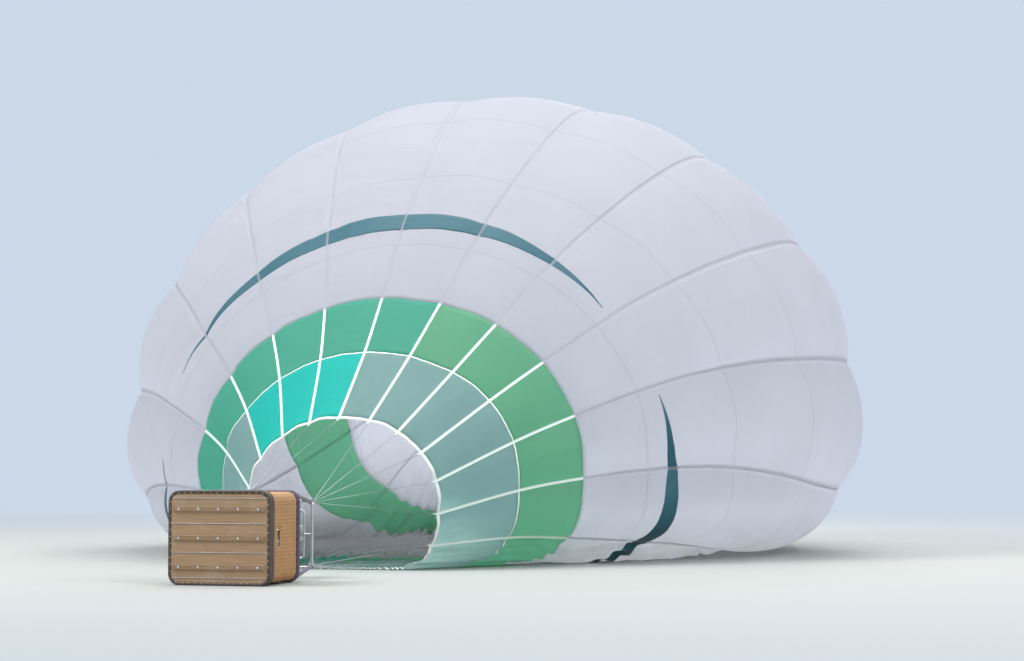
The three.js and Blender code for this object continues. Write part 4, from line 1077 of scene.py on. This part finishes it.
# Taps, levers and gauges under the burner's block
TAP_TOP = 1947
TAPS, GAUGE_X, INLET_X = (95, 215), 155, 250  # x to both sides
LEVER = [(95, 0, 1909), (95, -14, 1898), (100, -38, 1886), (120, -52, 1872)]
BURNER_GAUGE = [(0.5, -9), (21, -9), (24, -6), (24, 7), (21, 9), (20, 7), (0.5, 7)]
taps, grips, gauges = Parts(), Parts(), Parts()
for side in (-1, 1):
    for x in TAPS:
        taps.tube([(side * x, 0, TAP_TOP), (side * x, 0, 1905)], 16, 24)
        taps.tube([(side * x, 0, 1928), (side * x, 0, 1914)], 21, 6)
    grips.tube([(side * x, y, z) for x, y, z in LEVER], [6, 7, 9, 10], 16)
    grips.tube([(side * TAPS[1], 0, 1906), (side * TAPS[1], 0, 1894)], [17, 14], 12)
    gauges.tube([(side * GAUGE_X, 0, TAP_TOP), (side * GAUGE_X, 0, 1924)], 7, 16)
    gauges.lathe(BURNER_GAUGE, 32, (side * GAUGE_X, 0, 1900), axis=1)
    taps.tube([(side * INLET_X, 30, TAP_TOP), (side * INLET_X, 30, 1915), (side * 244, 34, 1902)], 8, 16)
taps.show("burner_taps", BRASS, body="burners", sharp=35)
grips.show("burner_levers", RUBBER, body="burners", sharp=35)
gauges.show("burner_gauges", STEEL, body="burners", slot="steel", sharp=35)

# Burner cans, each with a coil, a ring of jets and a pilot flame's tube
CAN_X = 150
CAN_PROFILE = [(132, 2062), (132, 2436), (131.5, 2441), (134, 2444.6), (135, 2441), (134.6, 2436)]
for height in (2400, 2330, 2260, 2190, 2120):  # beads rolled into the sheet
    CAN_PROFILE += [(134.2, height + 9), (135, height + 3), (135, height - 3), (134.2, height - 9)]
CAN_PROFILE += [(134.2, 2068), (135, 2062)]
CAN_FLOOR = [(0.5, 2015.3), (133, 2015.3), (135, 2017), (135, 2023), (133, 2025.3), (0.5, 2025.3)]
COIL_FOOT, COIL_RADIUS, COIL_TURNS, COIL_RISE = 2036, 100, 9.6, 29.5  # COIL_RISE is for one turn
JET_HEIGHT, JET_RADIUS, JETS = 2044, 60, 12
for name, side in (("left", -1), ("right", 1)):
    centre = np.array([side * CAN_X, 0, 0])
    x = centre[0]
    can = Parts().lathe(CAN_PROFILE, 72, centre, closed=True).lathe(CAN_FLOOR, 72, centre)
    for post in circle(centre, 132.6, 24):
        can.tube([post + [0, 0, 2024], post + [0, 0, 2064]], 2.2)
    can.show(f"burner_can_sheet_{name}", CAN_STEEL, sharp=35, body="burners", nodes=[f"burner_can_{name}"],
             slot="steel")
    turn = np.linspace(0, COIL_TURNS * TAU, 360)
    helix = np.stack([x + COIL_RADIUS * np.cos(turn), COIL_RADIUS * np.sin(turn),
                      COIL_FOOT + COIL_RISE * turn / TAU], 1)
    coil = Parts().tube(helix, 7.5, 10)
    coil.tube([helix[-1], (x + 84, helix[-1][1] * 0.6, 2326), (x + 70, -30, 2290), (x + 70, -30, 2060),
               (x + 62, -20, JET_HEIGHT)], 6.5, 10)
    coil.tube(circle((x, 0, JET_HEIGHT), JET_RADIUS, 48), 6.5, 12, closed=True)
    for k in range(JETS):
        turn = TAU * (k + 0.5) / JETS
        way = np.array([math.cos(turn), math.sin(turn), 0]) * JET_RADIUS
        jet = centre + way + [0, 0, 2048]
        coil.tube([jet, jet + [0, 0, 8], jet + [0, 0, 12]], [4.5, 4.5, 2], 10)
        if k % 4 == 0:
            coil.tube([centre + way + [0, 0, 2026], centre + way + [0, 0, 2042]], 5, 10)
    coil.tube([(x, 0, 2026), (x, 0, 2066), (x, 0, 2070), (x, 0, 2086)], [8, 8, 13, 13], 20)
    coil.show(f"burner_coil_tube_{name}", COIL_STEEL, body="burners", nodes=[f"burner_coil_{name}"],
              slot="coil_steel", sharp=40)

# Flying wires: a karabiner at each lug, and five wire ropes with crimped eyes to tape loops at the mouth
KARABINER_LOW, KARABINER_HIGH, REACH = 2013.6, 2082.3, 17  # lowest, highest and half the width
WIRES, WIRE_SPACING = 5, 6.2
EYE, LOOP_EYE = 0.0095, 0.011  # radius of a rope's eye at the karabiner and at the mouth
LOOP_BACK = 0.045  # from the mouth to the middle of the eye there
LOOP_HALF, LOOP_THICK = 0.011, 0.001  # half the width and half the thickness of the tape
tape_loops = Parts()
for index, (corner, side_x, side_y) in enumerate(CORNERS):
    x, y = side_x * LUG_X, side_y * LUG_Y
    oval = [(x, y + REACH * math.cos(a), bend + REACH * math.sin(a))
            for bend, start in ((KARABINER_HIGH - REACH, 0), (KARABINER_LOW + REACH, math.pi))
            for a in np.linspace(start, start + math.pi, 13)]
    karabiner = Parts().tube(oval, 5.2, 14, closed=True)
    karabiner.tube([(x, y + REACH, 2040), (x, y + REACH, 2062)], 8, 16)
    karabiner.show(f"karabiner_{corner}", STEEL, slot="steel", sharp=40)
    ropes = Parts()
    for k in range(WIRES):
        seam = (index * WIRES + k + 1) % GORES
        spot = (k - WIRES // 2) * WIRE_SPACING
        height = KARABINER_HIGH - (REACH - math.sqrt(REACH ** 2 - spot ** 2))
        start = basket_axes([x, y + spot, height])
        end = on_cloth(0, seam, -0.002)
        way = unit(end - start)
        flat_way = unit(np.cross(way, on_cloth(0, seam, 1.0) - on_cloth(0, seam)))
        side_way = np.cross(flat_way, way)
        around_bar = unit(np.cross(way, [1, 0, 0]))
        loop_at = end - way * LOOP_BACK
        ropes.tube(ring_in(start, way, np.cross(around_bar, way), EYE, 24), 0.0026, closed=True)
        ropes.tube(ring_in(loop_at, way, flat_way, LOOP_EYE, 24), 0.0028, closed=True)
        ropes.tube([start + way * 0.009, loop_at - way * LOOP_EYE], 0.003)
        ropes.tube([start + way * 0.014, start + way * 0.05], 0.0055, 12)
        ropes.tube([loop_at - way * 0.052, loop_at - way * 0.015], 0.0055, 12)
        bends = [loop_at - way * 0.014 * math.cos(a) + side_way * 0.006 * math.sin(a)
                 for a in np.linspace(-math.pi / 2, math.pi / 2, 9)]
        bends += [end + way * 0.012 - way * 0.003 * math.cos(a) + side_way * 0.003 * math.sin(a)
                  for a in np.linspace(math.pi / 2, 3 * math.pi / 2, 7)]
        loop = np.array(bends)
        stand = loop - loop.mean(0)
        stand /= np.linalg.norm(stand, axis=1, keepdims=True)
        tape_loops.sweep(np.stack([loop + flat_way * a * LOOP_HALF + stand * b * LOOP_THICK
                                   for a, b in ((-1, 1), (1, 1), (1, -1), (-1, -1))], 1), closed=True)
    ropes.show(f"wire_ropes_{corner}", WIRE, place=None, nodes=[f"flying_wires_{corner}"], slot="wire")
mouth_loops = tape_loops.show("mouth_tape_loops", TAPE, place=None, slot="tape_fabric")

GOES_WITH = {
    "green_ring_cloth_right": [ring_tapes, edge_tape],
    "crown_white_cloth_right": [white_tapes, vent_hem, folded_ends],
    "mouth_hem_cloth": [mouth_loops],
}
for name, (band, flat, area) in bands.items():
    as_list(GOES_WITH.get(name, ()))


# Camera and light
def place_in_scene(obj, location, way):
    """Put a camera or a lamp somewhere, looking along a direction."""
    obj.location = location
    obj.rotation_euler = Vector(way).to_track_quat("-Z", "Y").to_euler()
    bpy.context.scene.collection.objects.link(obj)


def lamp(name, location, target, size, power, colour):
    light = bpy.data.objects.new(name, bpy.data.lights.new(name, "AREA"))
    light.data.size = size
    light.data.energy = power
    light.data.color = colour
    place_in_scene(light, location, Vector(target) - Vector(location))


camera = bpy.data.objects.new("camera", bpy.data.cameras.new("camera"))
camera.data.lens = 78.6
place_in_scene(camera, (11.64, -31.9, 0.5), (-0.2706, 0.9627, math.tan(math.radians(3.4))))
bpy.context.scene.camera = camera
bpy.context.scene.view_settings.view_transform = "Standard"
lamp("key", (-22, -14, 30), (0, 6, 2), 16, 16000, (1.0, 0.98, 0.96))
lamp("overhead", (2, 10, 32), (0, 8, 2), 30, 11500, (1.0, 0.98, 0.97))
lamp("back", (0, 40, 20), (0, 12, 3), 20, 6500, (1.0, 0.98, 0.97))
lamp("fill", (30, -16, 22), (2, 6, 2), 18, 9500, (1.0, 0.97, 0.95))

BACKDROP = rgba((0.60, 0.69, 0.81))
world = bpy.data.worlds.new("sky")
bpy.context.scene.world = world
world.use_nodes = True
world.node_tree.nodes["Background"].inputs["Color"].default_value = BACKDROP
world.node_tree.nodes["Background"].inputs["Strength"].default_value = 1.0

# Floor, which fades into the backdrop between two distances from the balloon
FLOOR_REACH = 600
FLOOR_MIDDLE = (0, 5.5, 0)
FADE_FROM, FADE_LENGTH = 11, 26
corners = [(x * FLOOR_REACH, y * FLOOR_REACH, GROUND) for x, y in ((-1, -1), (1, -1), (1, 1), (-1, 1))]
floor = make("floor", corners, [(0, 1, 2, 3)])
look = Look("pale_floor")
look.finish(Base_Color=rgba((0.31, 0.32, 0.3)), Roughness=0.9)
away = look.node("VectorMath", {0: look.place, 1: FLOOR_MIDDLE}, operation="SUBTRACT").outputs["Vector"]
distance = look.node("VectorMath", {0: away}, operation="LENGTH").outputs["Value"]
far = look.scaled(distance, 1 / FADE_LENGTH, -FADE_FROM / FADE_LENGTH, clamp=True)
far = look.calculate("POWER", far, 0.8)
glow = look.node("Emission", {"Color": BACKDROP, "Strength": 1.0}).outputs[0]
fade = look.node("MixShader", {0: far, 1: look.shader.outputs["BSDF"], 2: glow})
look.connect(fade.outputs[0], look.surface)
floor.data.materials.append(look.material)
